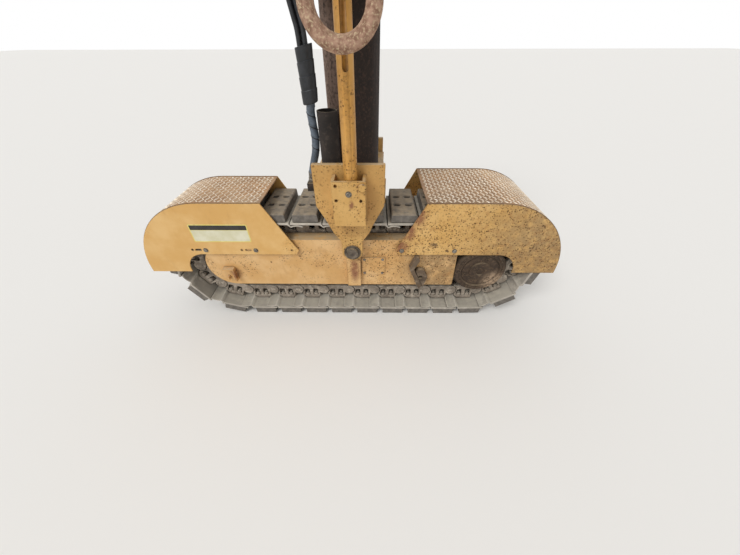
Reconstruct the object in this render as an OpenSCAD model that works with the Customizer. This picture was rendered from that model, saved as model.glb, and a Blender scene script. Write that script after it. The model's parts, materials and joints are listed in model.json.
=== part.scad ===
// Steerable crawler track leg of a cold planer: a track unit rocking in a yoke at the foot of a
// sliding round column, which turns with its collar in a housing that bolts to the machine.
// X runs along the track with the drive end at +X, Y across it with the outer side at -Y, Z is up.
// Heights in the values are measured from the ground under the shoes.

/* [Mounting] */
// Height of the centre of the housing's mounting face above the ground
mount_z = 1800; // [1760:5:1840]
// Distance of the mounting face behind the leg's axis
mount_y = 200; // [185:1:230]
// How far the leg's axis stands past the pivot of the track
leg_x = 17; // [0:1:20]
// Width of the mounting plate
mount_w = 460; // [440:5:520]
// Height of the mounting plate
mount_h = 420; // [400:5:440]
// Thickness of the mounting plate
mount_t = 30; // [20:1:36]
// Bolt spacing across the mounting plate
mount_bolt_x = 380; // [340:5:400]
// Bolt spacing up the mounting plate
mount_bolt_z = 320; // [280:5:340]
// Diameter of a mounting bolt hole
mount_hole_d = 26; // [20:1:32]

/* [Track chain] */
// Pin to pin pitch of the chain
pitch = 155.6; // [150:0.2:158]
// Height of the link rail above its pin centre
rail_h = 35.4; // [32:0.2:37]
// Distance of the shoe face outside the pin centre
shoe_face = 67.8; // [64:0.2:70]
// Thickness of a steel shoe plate
shoe_t = 12; // [10:0.5:14]
// Thickness of a wear pad on its shoe
pad_t = 43; // [38:0.5:44]
// Width of the shoes across the track
shoe_w = 305; // [280:1:310]
// How much narrower a pad is than its shoe at each side
pad_inset = 4; // [2:1:10]
// Distance of a pad's ends from the ends of its shoe
pad_end = 14; // [10:0.5:22]
// Gap between one shoe and the next
shoe_gap = 5; // [3:0.5:8]
// Outer radius of a link's pin boss
boss_r = 33; // [28:0.5:34]
// Distance of a link's outer face from the middle of the track
link_out = 70; // [66:1:74]
// Thickness of a link
link_t = 22; // [16:1:26]
// Radius of a chain bushing
bush_r = 21; // [18:0.5:24]
// Width of a nut window in a link
window_w = 30; // [24:1:32]
// Height of a nut window in a link
window_h = 50; // [36:1:54]
// Distance between the two nut windows of a link
window_step = 50; // [44:1:54]
// Thickness of the foot under the windows, which a shoe is bolted to
foot_t = 24; // [18:1:28]
// How far the chain's pins lie past the idler's tangent point, in pitches
chain_phase = 0.079; // [0.06:0.001:0.12]
// How far a shoe's joint lies past its pin
joint_off = 33.5; // [30:0.5:36]
// Thickness of the curved lip that reaches under the next shoe
lip_t = 6; // [4:0.5:7]

/* [Track frame] */
// How far the frame's side faces lie inside the ends of the shoes
frame_inset = 7.5; // [5:0.5:10]
// Thickness of the frame's side plates
frame_t = 14; // [10:1:18]
// Lower edge of the side plates
frame_z0 = 238; // [230:1:244]
// Upper edge of the side plates
frame_z1 = 535; // [525:1:538]
// Radius of the side plates' end round the idler
frame_nose_r = 134; // [120:1:145]
// Where the side plates end at the drive, at their top
frame_x1 = 535; // [525:1:540]
// How much further the lower corner of that end reaches
frame_rake = 11; // [0:1:15]
// Thickness of the frame's decks and of its top flanges
deck_t = 12; // [8:1:16]
// Width of the flanges along the top of the side plates
top_flange_w = 54; // [40:1:55]
// Radius of the frame side plates' corners
frame_corner_r = 12; // [6:1:20]

/* [Rollers and wheels] */
// Radius of a bottom roller's tread
roller_r = 64; // [58:1:70]
// Distance from one bottom roller to the next
roller_step = 196; // [185:1:205]
// Where the first bottom roller lies
roller_x0 = -405; // [-406:1:-395]
// Height by which a roller's flanges stand over its treads
flange_h = 12; // [8:1:13]
// Height by which the idler's middle rib stands over its rim
idler_rib = 22; // [16:1:24]
// Radius of the idler's hub
idler_hub_r = 52; // [45:1:60]
// Radius of the idler's axle
idler_axle_r = 30; // [25:1:35]
// Thickness of the sprocket
sprocket_t = 38; // [30:1:44]
// Radius of the final drive's outer drum
drive_r = 137; // [125:1:145]
// Radius of the hydraulic motor behind the sprocket
motor_r = 92; // [80:1:100]
// How far the motor reaches from the middle of the track
motor_end = 256; // [245:1:262]

/* [Guards] */
// Gap between the shoes and the guards' outer face
guard_gap = 10.5; // [8.5:0.5:12]
// Thickness of a guard plate
guard_t = 6; // [5:0.5:8]
// Radius of the hand hole's round end in a guard
cut_r = 100; // [80:1:105]
// Where the hand hole's round end lies past the drive axle
drive_cut_x = 61; // [40:1:70]
// Where the hand hole's round end lies past the idler guard's arc centre
idler_cut_x = 74; // [50:1:90]
// How far the idler guard's arc centre lies past the idler axle
idler_guard_x = 20; // [0:1:25]
// Tip of the drive guard, from the leg's axis
drive_guard_tip = 212; // [205:1:230]
// Tip of the idler guard, from the leg's axis
idler_guard_tip = 275; // [260:1:290]
// Straight lower edge of the guards
guard_z0 = 457; // [452:1:462]
// Height of the lowest edge at the guards' ends
guard_end_z = 342; // [335:1:350]
// Radius of the guards round the drive and idler axles
guard_r = 385; // [375:1:390]
// Gap between the motor's end and the far face of the drive guard
motor_gap = 24; // [14:1:34]
// Thickness of the tread sheet on top of the guards
tread_t = 5; // [4:0.5:6]

/* [Yoke] */
// Gap between the guards' outer face and the yoke plates
yoke_gap = 12; // [9:0.5:16]
// Thickness of a yoke plate
yoke_t = 25; // [20:1:28]
// Half the width of a yoke plate at the top
yoke_half = 148; // [135:1:155]
// Half the width of a yoke plate's neck
neck_half = 50; // [45:1:55]
// Top of the yoke plates
yoke_z1 = 922; // [900:1:930]
// Underside of the yoke's cross beam
beam_z0 = 745; // [740:1:755]
// Top of the yoke's cross beam
beam_z1 = 860; // [850:1:870]
// Height of the pivot that the track rocks on
pivot_z = 500; // [498:1:502]
// Radius of the pivot pins
pivot_r = 28; // [24:0.5:30]

/* [Column and rod] */
// Radius of the sliding column
column_r = 105; // [100:0.5:110]
// Travel of the leg in its housing
lift = 300; // [250:5:300]
// Radius of the guide rod
rod_r = 27; // [24:0.5:30]
// Gap between the yoke's outer face and the guide rod
rod_gap = 13; // [8:1:18]
// How far the guide rod stands to the side of the leg's axis
rod_x = -6; // [-10:1:0]
// Top of the guide rod at rest
rod_z1 = 1640; // [1600:5:1660]
// Lower end of the slot in the front of the guide rod
slot_z0 = 1222; // [1210:1:1235]
// Half the width of that slot
slot_r = 9.5; // [6:0.5:11]
// Radius of the open pipe beside the column
stub_r = 39; // [34:0.5:41]
// Top of that pipe
stub_z1 = 1096; // [1060:1:1100]

/* [Housing and collar] */
// Lower face of the steering collar
collar_z0 = 1420; // [1410:1:1430]
// Thickness of the collar's flange and arms
collar_t = 30; // [24:1:36]
// Height of the collar's tube inside the housing
collar_h = 330; // [300:5:360]
// Outer radius of the collar's tube inside the housing
collar_r = 132; // [128:0.5:134]
// Outer radius of the housing
housing_r = 152; // [146:0.5:156]
// Top of the housing tube
housing_z1 = 2112; // [2108:1:2130]
// Radius of the housing's end flanges
flange_r = 164; // [160:1:166]
// Reach of the steering lever from the leg's axis
lever_reach = 260; // [230:1:290]
// Radius of the steering lever's pin bore
lever_bore_r = 20; // [15:0.5:24]

/* [Ring] */
// Radius of the lifting ring's bar
ring_bar_r = 21.5; // [18:0.5:22]
// Radius of the ring's centre line
ring_r = 84; // [80:0.5:88]
// Distance of the ring in front of the guide rod
ring_reach = 140; // [130:1:150]
// Thickness of the lug that the ring hangs in
lug_t = 22; // [16:1:26]

/* [Hidden] */
$fn = 64;
// Clearance of turning and sliding fits, and of faces that only touch
fit = 0.3;
seat = 0.3;
// Teeth of the sprocket; links wrapped round each end for half a turn, and in each straight run
teeth = 17;
end_links = teeth / 4;
run_links = 8.75;
link_count = 2 * (end_links + run_links);
pin_r = pitch / (2 * sin(90 / end_links));
half_base = run_links * pitch / 2;
// Height of both axles: the pads stand on the ground
axle_z = pin_r + shoe_face + shoe_t + pad_t;
rail_z = axle_z - pin_r + rail_h;
// The idler's rim touches the straight rails at the middle of each link
idler_r = pin_r * cos(90 / end_links) - rail_h;
roller_z = rail_z + roller_r;
// Planes across the track, as distances from its middle: frame, guards, yoke, rod and ring
frame_y = shoe_w / 2 - frame_inset;
frame_in = frame_y - frame_t;
guard_y = shoe_w / 2 + guard_gap;
guard_far_y = motor_end + motor_gap;
yoke_y = guard_y + yoke_gap;
yoke_out = yoke_y + yoke_t;
rod_y = yoke_out + rod_gap + rod_r;
ring_y = rod_y + ring_reach;
// Underside of the housing and top of the column, which stays in the housing at full lift
housing_z0 = collar_z0 + collar_t + seat;
column_z1 = housing_z1 - lift - 12;
// Top of the ring's centre line, and the hole that its curved bar sags in and swings about
lug_z = collar_z0 + 38.5;
lug_hole_r = ring_bar_r + 4;
lug_r = lug_hole_r + 18.5;
ring_sag = ring_r - sqrt(pow(ring_r, 2) - pow(lug_t / 2, 2));
lug_hole_z = lug_z + lug_hole_r - ring_bar_r - seat - ring_sag;
// Centre of the guards' arcs above the axles, and the top that they reach
arc_dz = 14;
guard_z1 = axle_z + arc_dz + guard_r;
// Ends and heights of the frame's decks
deck_x1 = 430;
deck_z = [roller_z + roller_r + flange_h + 12, 410];

// Shifts a piece from heights over the ground, above the pivot or about the leg, to the mounting face
module from_ground() translate([-leg_x, -mount_y, -mount_z]) children();
module from_leg() translate([0, -mount_y, -mount_z]) children();

// Extrudes an outline drawn in X and Z from y0 to y1
module slab(y0, y1) translate([0, y1, 0]) rotate([90, 0, 0]) linear_extrude(y1 - y0) children();

// Cylinder along Y from y0 to y1
module bar_y(x, z, r, y0, y1) translate([x, y1, z]) rotate([90, 0, 0]) cylinder(r = r, h = y1 - y0);

// Both sides of the track
module both_sides() {
    children();
    mirror([0, 1, 0]) children();
}

// Place of a chain pin, counted in pitches from the idler's lower tangent point
function chain_point(s) =
    let (lap = s % link_count, a = 90 / end_links)
    lap < run_links ? [-half_base + lap * pitch, axle_z - pin_r]
    : lap < run_links + end_links
        ? let (t = (lap - run_links) * 2 * a)
          [half_base + pin_r * sin(t), axle_z - pin_r * cos(t)]
    : lap < 2 * run_links + end_links
        ? [half_base - (lap - run_links - end_links) * pitch, axle_z + pin_r]
    : let (t = (lap - 2 * run_links - end_links) * 2 * a)
      [-half_base - pin_r * sin(t), axle_z + pin_r * cos(t)];

// Draws its children once for each link, from its first pin along +X with the shoe at -Y
module each_link() {
    for (i = [0 : link_count - 1]) {
        p = chain_point(chain_phase + i);
        q = chain_point(chain_phase + i + 1);
        translate(p) rotate(atan2(q.y - p.y, q.x - p.x)) children();
    }
}

// One link seen from the side: rail, pin boss and the foot, set back for the lip of its shoe
boss_sides = 10;
window_mid = pitch / 2 + 2;
foot_x = [boss_r * 0.85, joint_off + 14.5, pitch - boss_r * 0.8];
module link_outline() difference() {
    union() {
        square([pitch, rail_h]);
        polygon([[foot_x[0], 0], [foot_x[0], -shoe_face + foot_t], [foot_x[1], -shoe_face],
                 [foot_x[2], -shoe_face], [foot_x[2], 0]]);
        rotate(180 / boss_sides) circle(r = boss_r, $fn = boss_sides);
    }
    for (side = [-1, 1]) translate([window_mid + side * window_step / 2 - window_w / 2, foot_t - shoe_face])
        square([window_w, window_h]);
}

module track_links() color("#8d8374") from_ground() {
    both_sides() slab(-link_out, -link_out + link_t) each_link() link_outline();
    slab(-link_out + link_t, link_out - link_t) each_link() circle(r = bush_r, $fn = 6);
}

// Shoe plate whose first edge bends into a lip round the pin, under the shoe before it
lip_r = shoe_face - 1;
module shoe_outline() {
    x0 = joint_off + shoe_gap / 2;
    x1 = x0 + pitch - shoe_gap;
    polygon(concat(
        [[x0, -shoe_face - shoe_t], [x1, -shoe_face - shoe_t], [x1, -shoe_face], [x0 + 10, -shoe_face]],
        arc([0, 0], lip_r - lip_t, -62, -111, 1), arc([0, 0], lip_r, -111, -64, 2),
        [[x0, -shoe_face - shoe_t / 2]]));
}

module track_shoes() color("#7d7468") from_ground()
    slab(-shoe_w / 2, shoe_w / 2) each_link() shoe_outline();

// Wear pad with slanted ends
module pad_outline() {
    x0 = joint_off + shoe_gap / 2 + pad_end;
    x1 = joint_off + pitch - shoe_gap / 2 - pad_end;
    slant = pad_t * 0.15;
    translate([0, -shoe_face - shoe_t])
        polygon([[x0, 0], [x1, 0], [x1 - slant, -pad_t], [x0 + slant, -pad_t]]);
}

module track_pads() color("#857c70") from_ground()
    slab(-shoe_w / 2 + pad_inset, shoe_w / 2 - pad_inset) each_link() pad_outline();

// Points on an arc round c from angle a0 to a1
function arc(c, r, a0, a1, n = 5) = [for (i = [0 : n]) c + r * [cos(a0 + (a1 - a0) * i / n),
                                                               sin(a0 + (a1 - a0) * i / n)]];

// Side plate of the frame, rounded at the idler and raked at the drive
module frame_outline() {
    nose = [-half_base + 22, frame_z0 + frame_nose_r];
    lean = 140;
    shoulder = nose + frame_nose_r * [cos(lean), sin(lean)];
    r = frame_corner_r;
    polygon(concat(
        arc(nose, frame_nose_r, lean, 270, 24),
        arc([frame_x1 + frame_rake - r, frame_z0 + r], r, 270, 360),
        arc([frame_x1 - r, frame_z1 - r], r, 0, 90),
        [[shoulder.x + (frame_z1 - shoulder.y) * tan(180 - lean), frame_z1]]));
}

// Ends of the flanges along the top of the side plates
top_flange_x = [-half_base + 80, frame_x1 - frame_corner_r];
module track_frame() color("#d9a961") from_ground() {
    difference() {
        both_sides() slab(-frame_y, -frame_in) frame_outline();
        bar_y(0, pivot_z, pivot_r + fit, -frame_y - 1, frame_y + 1);
    }
    both_sides() translate([top_flange_x[0], -frame_in, frame_z1 - deck_t])
        cube([top_flange_x[1] - top_flange_x[0], top_flange_w, deck_t]);
    for (z = deck_z) translate([-deck_x1, -frame_in, z]) cube([2 * deck_x1, 2 * frame_in, deck_t]);
}

// Upright bars that carry the pivot on the frame's side faces
post_w = 70;
post_h = 290;
module pivot_posts() color("#cf9a50") from_ground() both_sides() difference() {
    translate([-post_w / 2, -yoke_y + 5, frame_z0 + 12]) cube([post_w, yoke_y - 5 - frame_y, post_h]);
    bar_y(0, pivot_z, pivot_r + fit, -yoke_y, -frame_y + 1);
}

cover_size = [123, 6, 114];
module cover_plate() color("#c99c5e") from_ground()
    translate([post_w / 2 + 7, -frame_y - cover_size.y, frame_z0 + 78]) cube(cover_size);

// Idler from its hub's end to its middle: hub, cone, web, rim and the rib between the links
hub_end = link_out + 4;
hub_foot = 40;
web_half = 22;
rim_depth = 24;
function idler_edge(side) = [
    [idler_axle_r + fit, side * hub_end], [idler_hub_r, side * hub_end],
    [idler_hub_r + 8, side * hub_foot], [idler_r - rim_depth - 16, side * web_half],
    [idler_r - rim_depth, side * hub_end], [idler_r, side * hub_end],
    [idler_r, side * (link_out - link_t - 6)], [idler_r + idler_rib, side * (link_out - link_t - 12)]];
module idler() color("#5d5248") from_ground()
    translate([-half_base, 0, axle_z]) rotate([90, 0, 0]) rotate_extrude()
        polygon(concat(idler_edge(-1), [for (k = [7 : -1 : 0]) idler_edge(1)[k]]));

// Axle, the sliding blocks that hold it between the side plates, and the arms that tension it
block_size = [120, 38, 92];
block_back = 55;
arm_h = 54;
module idler_axle() color("#6b6058") from_ground() {
    bar_y(-half_base, axle_z, idler_axle_r, -frame_in, frame_in);
    both_sides() slab(-frame_in, -frame_in + block_size.y) {
        translate([-half_base - block_back, axle_z - block_size.z / 2]) square([block_size.x, block_size.z]);
        translate([-half_base + block_back, deck_z[0] + 4])
            square([half_base - block_back - deck_x1, arm_h]);
    }
}

// Bottom roller: two treads with flanges between them on a hub, from its end to its middle
roller_end = link_out + 14;
roller_neck_r = 44;
function roller_edge(side) = [
    [0, side * roller_end], [30, side * roller_end], [30, side * (link_out + 8)],
    [roller_r, side * (link_out + 8)], [roller_r, side * (link_out - link_t - 4)],
    [roller_r + flange_h, side * (link_out - link_t - 9)], [roller_r + flange_h, side * 22]];
module roller(i) color("#6a5f54") from_ground()
    translate([roller_x0 + i * roller_step, 0, roller_z]) {
        rotate([90, 0, 0]) rotate_extrude()
            polygon(concat(roller_edge(1), [[roller_neck_r, 14], [roller_neck_r, -14]],
                           [for (k = [6 : -1 : 0]) roller_edge(-1)[k]]));
        both_sides() translate([-34, -roller_end - 28, -22]) cube([68, 28, deck_z[0] - roller_z + 22]);
    }

// Direction of the sprocket's first notch, which holds the first bushing on its wrap
tooth_0 = -90 + (ceil(run_links - chain_phase) + chain_phase - run_links) * 180 / end_links;
module sprocket() color("#4f4640") from_ground()
    translate([half_base, 0, axle_z]) slab(-sprocket_t / 2, sprocket_t / 2) difference() {
        circle(r = pin_r + 8);
        for (i = [0 : teeth - 1]) rotate(tooth_0 + i * 360 / teeth) translate([pin_r, 0]) {
            circle(r = bush_r + 1.5, $fn = 24);
            polygon([[0, -bush_r - 1.5], [40, -bush_r - 12], [40, bush_r + 12], [0, bush_r + 1.5]]);
        }
        circle(r = 60);
    }

// Radii of the drive's flanges at the sprocket and of its case behind it
drive_flange_r = 150;
drive_case_r = 118;
module final_drive() color("#6b4f3c") from_ground()
    translate([half_base, 0, axle_z]) rotate([90, 0, 0]) rotate_extrude()
        polygon([[0, sprocket_t / 2 + fit], [drive_flange_r, sprocket_t / 2 + fit], [drive_flange_r, 40],
                 [drive_r, 46], [drive_r, guard_y - 21], [drive_r - 8, guard_y - 13],
                 [104, guard_y - 13], [98, guard_y - 19], [60, guard_y - 19], [56, guard_y - 11],
                 [24, guard_y - 11], [20, guard_y - 17], [0, guard_y - 17]]);

// Motor with its case, and two port blocks on its side
module drive_motor() color("#5b524a") from_ground() translate([half_base, 0, axle_z]) {
    rotate([-90, 0, 0]) rotate_extrude()
        polygon([[0, sprocket_t / 2 + fit], [drive_flange_r, sprocket_t / 2 + fit],
                 [drive_flange_r, 44], [drive_case_r, 50], [drive_case_r, motor_end - 106],
                 [motor_r, motor_end - 100], [motor_r, motor_end - 18], [motor_r - 14, motor_end],
                 [0, motor_end]]);
    translate([-motor_r - 20, motor_end - 78, -42]) cube([motor_r, 44, 84]);
    for (z = [-22, 22])
        translate([-motor_r - 34, motor_end - 56, z]) rotate([0, 90, 0]) cylinder(r = 15, h = 20);
}

// Plate that carries the drive on the frame
mount_arm_h = 156;
module drive_mount() color("#b98a45") from_ground() slab(frame_in - 27, frame_in) difference() {
    union() {
        translate([half_base, axle_z]) circle(r = drive_flange_r);
        translate([deck_x1 + 2, axle_z - mount_arm_h / 2]) square([half_base - deck_x1, mount_arm_h]);
    }
    translate([half_base, axle_z]) circle(r = drive_case_r + seat);
}

// Outline of a guard round its arc's centre, with the tip at x = -tip and the hand hole at cut
module guard_outline(tip, lean, cut) {
    top = guard_z1 - axle_z;
    low = guard_z0 - axle_z;
    end = guard_end_z - axle_z;
    difference() {
        union() {
            intersection() {
                translate([0, arc_dz]) circle(r = guard_r, $fn = 128);
                translate([0, end]) square([guard_r + 10, top - end]);
            }
            polygon([[0, top], [-tip + lean, top], [-tip, low + 24], [-tip + 16, low], [0, low]]);
        }
        translate([cut, low - cut_r]) circle(r = cut_r, $fn = 96);
        translate([-tip, low - 3 * cut_r]) square([tip + cut, 3 * cut_r]);
        translate([-tip, low - 4 * cut_r]) square([tip + cut + cut_r, 3 * cut_r]);
    }
}

drive_tip = half_base - drive_guard_tip;
idler_arc_x = half_base + idler_guard_x;
idler_tip = idler_arc_x - idler_guard_tip;
// How far the slanted edges lean from the tips to the top
drive_lean = 132;
idler_lean = 136;

module at_drive() translate([half_base, axle_z]) children();
module at_idler() translate([-idler_arc_x, axle_z]) mirror([1, 0]) children();

// Bolt holes and slots in the guards' outer faces: place along the track and length of the slot
slot_hole_r = 6.5;
slot_row_z = guard_z0 + 27;
drive_slots = [[472, 0]];
idler_slots = [[-310, 0], [-564, 0], [-531, 20], [-816, 0], [-786, 20]];
module slot_row(slots) for (p = slots) translate([p[0], slot_row_z]) {
    for (end = [-1, 1]) translate([end * p[1] / 2, 0]) circle(r = slot_hole_r, $fn = 24);
    if (p[1] > 0) translate([-p[1] / 2, -slot_hole_r]) square([p[1], 2 * slot_hole_r]);
}

module drive_guard_side() color("#c9a560") from_ground() slab(-guard_y, -guard_y + guard_t)
    difference() {
        at_drive() guard_outline(drive_tip, drive_lean, drive_cut_x);
        slot_row(drive_slots);
    }

module idler_guard_side() color("#cfa862") from_ground() slab(-guard_y, -guard_y + guard_t)
    difference() {
        at_idler() guard_outline(idler_tip, idler_lean, idler_cut_x);
        slot_row(idler_slots);
    }

// Strip of tread sheet bent over the straight top and the arc of a guard
module tread_outline(x0) {
    top = guard_z1 - axle_z;
    difference() {
        translate([0, arc_dz]) circle(r = guard_r, $fn = 128);
        translate([0, arc_dz]) circle(r = guard_r - tread_t, $fn = 128);
        translate([-500, guard_end_z - axle_z - 500]) square([1000, 500]);
        translate([-500, -500]) square([500, 1200]);
    }
    translate([x0, top - tread_t]) square([-x0 + 1, tread_t]);
}

module drive_guard_tread() color("#d5b083") from_ground()
    slab(-guard_y + guard_t, guard_far_y - guard_t) at_drive() tread_outline(-drive_tip + drive_lean);

module idler_guard_tread() color("#d5b083") from_ground()
    slab(-guard_y + guard_t, guard_y - guard_t) at_idler() tread_outline(-idler_tip + idler_lean);

module drive_guard_back() color("#c9a560") from_ground()
    slab(guard_far_y - guard_t, guard_far_y) at_drive()
        guard_outline(drive_tip, drive_lean, drive_cut_x);

module idler_guard_back() color("#cfa862") from_ground()
    slab(guard_y - guard_t, guard_y) at_idler() guard_outline(idler_tip, idler_lean, idler_cut_x);

// Bars that hold the guards off the frame: first x, last x, outer face and side of the track
guard_bars = [
    [drive_guard_tip + 18, frame_x1 - 20, guard_y - guard_t, -1],
    [-half_base - 40, -idler_guard_tip - 30, guard_y - guard_t, -1],
    [-half_base - 40, -idler_guard_tip - 30, guard_y - guard_t, 1]
];
bar_h = 34;
bar_z0 = guard_z0 + 11;
// Brackets with a web that reach to the drive guard's far face
far_bracket_x = [drive_guard_tip + 38, frame_x1 - 95];
far_bracket_w = 60;
module guard_rails() color("#b98a45") from_ground() {
    for (b = guard_bars)
        translate([b[0], b[3] > 0 ? frame_y : -b[2], bar_z0]) cube([b[1] - b[0], b[2] - frame_y, bar_h]);
    for (x = far_bracket_x) translate([x, frame_y, bar_z0]) {
        reach = guard_far_y - guard_t - frame_y;
        cube([far_bracket_w, reach, guard_t * 1.5]);
        translate([far_bracket_w / 2 - 4, 0, guard_t]) rotate([90, 0, 90]) linear_extrude(8)
            polygon([[0, 0], [reach, 0], [reach, bar_h], [0, 1.6 * bar_h]]);
    }
}

// Bent bar on the frame's side with a small lug beside it
step_face_y = frame_y + 28;
module step_lug() color("#8a6a3c") from_ground() {
    slab(-step_face_y, -frame_y)
        polygon([[-706, 353], [-655, 353], [-655, 279], [-645, 279], [-645, 363], [-706, 363]]);
    slab(-step_face_y + 8, -frame_y) translate([-700, 281]) square([10, 22]);
}

// Bent bracket on the frame's side, and the six-sided block welded into it with its bore
block_bore = [345, 302, 11];
module chevron_bracket() color("#77695a") from_ground() {
    slab(-frame_y - 36, -frame_y)
        polygon([[293, 376], [322, 452], [334, 452], [342, 432], [316, 374], [370, 258], [354, 238]]);
    difference() {
        slab(-frame_y - 27, -frame_y)
            polygon([[330, 352], [340, 365], [361, 364], [373, 359], [395, 314], [379, 246], [368, 252]]);
        bar_y(block_bore.x + 12, block_bore.y + 12, block_bore.z, -frame_y - 28, -frame_y - 5);
    }
}

// Plates of the yoke's hollow cross beam: sides and bottom, and the top that carries the column
beam_t = 16;
beam_top_t = 20;

// Yoke plate: a broad shield that tapers to the neck and the round ear at the pivot
module yoke_outline() {
    polygon([[-yoke_half, yoke_z1], [-yoke_half, beam_z0], [-106, 662], [-83, 609], [-neck_half, 560],
             [-neck_half, pivot_z], [neck_half, pivot_z], [neck_half, 560], [83, 609], [106, 662],
             [yoke_half, beam_z0], [yoke_half, yoke_z1]]);
    translate([0, pivot_z]) circle(r = neck_half);
}

module yoke() color("#a87b30") from_ground() {
    difference() {
        both_sides() slab(-yoke_out, -yoke_y) yoke_outline();
        bar_y(0, pivot_z, pivot_r, -yoke_out - 1, yoke_out + 1);
    }
    slab(-yoke_y, yoke_y) difference() {
        translate([-yoke_half, beam_z0]) square([2 * yoke_half, beam_z1 - beam_z0]);
        translate([-yoke_half + beam_t, beam_z0 + beam_t])
            square([2 * (yoke_half - beam_t), beam_z1 - beam_top_t - beam_z0 - beam_t]);
    }
}

// Pins with a washer and a round head on the yoke's outer faces
module pivot_pins() color("#6e6258") from_ground() both_sides() {
    bar_y(0, pivot_z, pivot_r - 0.05, -yoke_out - 1, -frame_in - 2);
    bar_y(0, pivot_z, pivot_r + 12, -yoke_out - 6, -yoke_out);
    bar_y(0, pivot_z, pivot_r, -yoke_out - 18, -yoke_out - 6);
}

module column() color("#3d2b22") from_leg()
    translate([0, 0, beam_z1]) cylinder(r = column_r, h = column_z1 - beam_z1, $fn = 96);

// Bracket that holds the guide rod's foot: front plate, two sides and a bottom
bracket_back = rod_y + rod_r + 0.5;
bracket_t = 12;
bracket_x = [-64, 70];
bracket_z = [692, 885];
bracket_holes = [[-47, 868], [-48, 808], [51, 806]];
module rod_bracket() color("#d0a055") from_ground() {
    difference() {
        slab(-bracket_back - bracket_t, -bracket_back) difference() {
            translate([bracket_x[0], bracket_z[0]])
                square([bracket_x[1] - bracket_x[0], bracket_z[1] - bracket_z[0]]);
            translate([bracket_x[0] - 1, 775]) square([6, 12]);
        }
        for (p = bracket_holes) bar_y(p[0], p[1], 6.5, -bracket_back - bracket_t - 1, -bracket_back + 1);
    }
    for (x = [bracket_x[0], bracket_x[1] - bracket_t])
        translate([x, -bracket_back, bracket_z[0] - 22])
            cube([bracket_t, bracket_back - yoke_out, bracket_z[1] - bracket_z[0] + 22]);
    translate([bracket_x[0] + bracket_t, -bracket_back, bracket_z[0]])
        cube([bracket_x[1] - bracket_x[0] - 2 * bracket_t, bracket_back - yoke_out, bracket_t]);
}

// Guide rod, with a slot from its top down its front
slot_depth = 15;
module guide_rod() color("#c8923c") from_leg() difference() {
    rod_z0 = bracket_z[0] + bracket_t;
    translate([rod_x, -rod_y, rod_z0]) cylinder(r = rod_r, h = rod_z1 - rod_z0);
    bar_y(rod_x + 2, slot_z0 + slot_r, slot_r, -rod_y - rod_r - 1, -rod_y - rod_r + slot_depth);
    translate([rod_x + 2 - slot_r, -rod_y - rod_r - 1, slot_z0 + slot_r])
        cube([2 * slot_r, slot_depth + 1, rod_z1 - slot_z0]);
}

// Open pipe on the beam, closed at its foot
stub_inset = 53;
stub_xy = [-75, -yoke_y + stub_inset];
module stub_pipe() color("#3c3a38") from_ground() translate([stub_xy.x, stub_xy.y, beam_z1]) difference() {
    cylinder(r = stub_r, h = stub_z1 - beam_z1);
    translate([0, 0, 20]) cylinder(r = stub_r - 5, h = stub_z1);
}

// Route of the wrapped hoses down the column: x, y, height and radius
hose_route = [
    [-150, -148, 1560, 20], [-150, -148, 1440, 20], [-144, -147, 1380, 20], [-132, -145, 1330, 29],
    [-130, -144, 1280, 29], [-129, -144, 1220, 29], [-128, -143, 1160, 29], [-129, -140, 1122, 26],
    [-135, -128, 1092, 15.5], [-135, -117, 1050, 15.5], [-134, -102, 995, 15.5],
    [-142, -88, 940, 15.5], [-158, -76, 890, 15.5], [-172, -66, 845, 15.5], [-176, -56, 800, 15.5]
];
hose_sides = 10;
function ring_points(p, n) = [for (i = [0 : n - 1])
    [p[0] + p[3] * cos(i * 360 / n), p[1] + p[3] * sin(i * 360 / n), p[2]]];
module hose_tube(route, n) {
    last = len(route) - 1;
    polyhedron(
        points = [for (p = route) each ring_points(p, n)],
        faces = concat(
            [[for (i = [0 : n - 1]) i]],
            [for (k = [0 : last - 1]) for (i = [0 : n - 1])
                [k * n + i, (k + 1) * n + i, (k + 1) * n + (i + 1) % n, k * n + (i + 1) % n]],
            [[for (i = [n - 1 : -1 : 0]) last * n + i]]));
}
module hose_bundle() color("#3f4850") from_ground() hose_tube(hose_route, hose_sides);

// Block on the beam's side that the hoses end in
bulkhead_size = [52, 68, 36];
module hose_bulkhead() color("#57504a") from_ground()
    translate([-yoke_half - bulkhead_size.x, -90, 764]) cube(bulkhead_size);

// Lifting ring, bent round so that it hangs in its lug
module lifting_ring() color("#9b7a68") from_leg()
    translate([0, -ring_y, lug_z - ring_r]) rotate([90, 0, 0])
        rotate_extrude() translate([ring_r, 0]) circle(r = ring_bar_r, $fn = 32);

// Plate with the ring's hole, in front of the rod's bush
module ring_lug() {
    translate([-lug_t / 2, -ring_y, collar_z0]) cube([lug_t, ring_y - rod_y - rod_r, 82]);
    translate([-lug_t / 2, -ring_y, lug_hole_z]) rotate([0, 90, 0]) cylinder(r = lug_r, h = lug_t);
}

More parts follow.
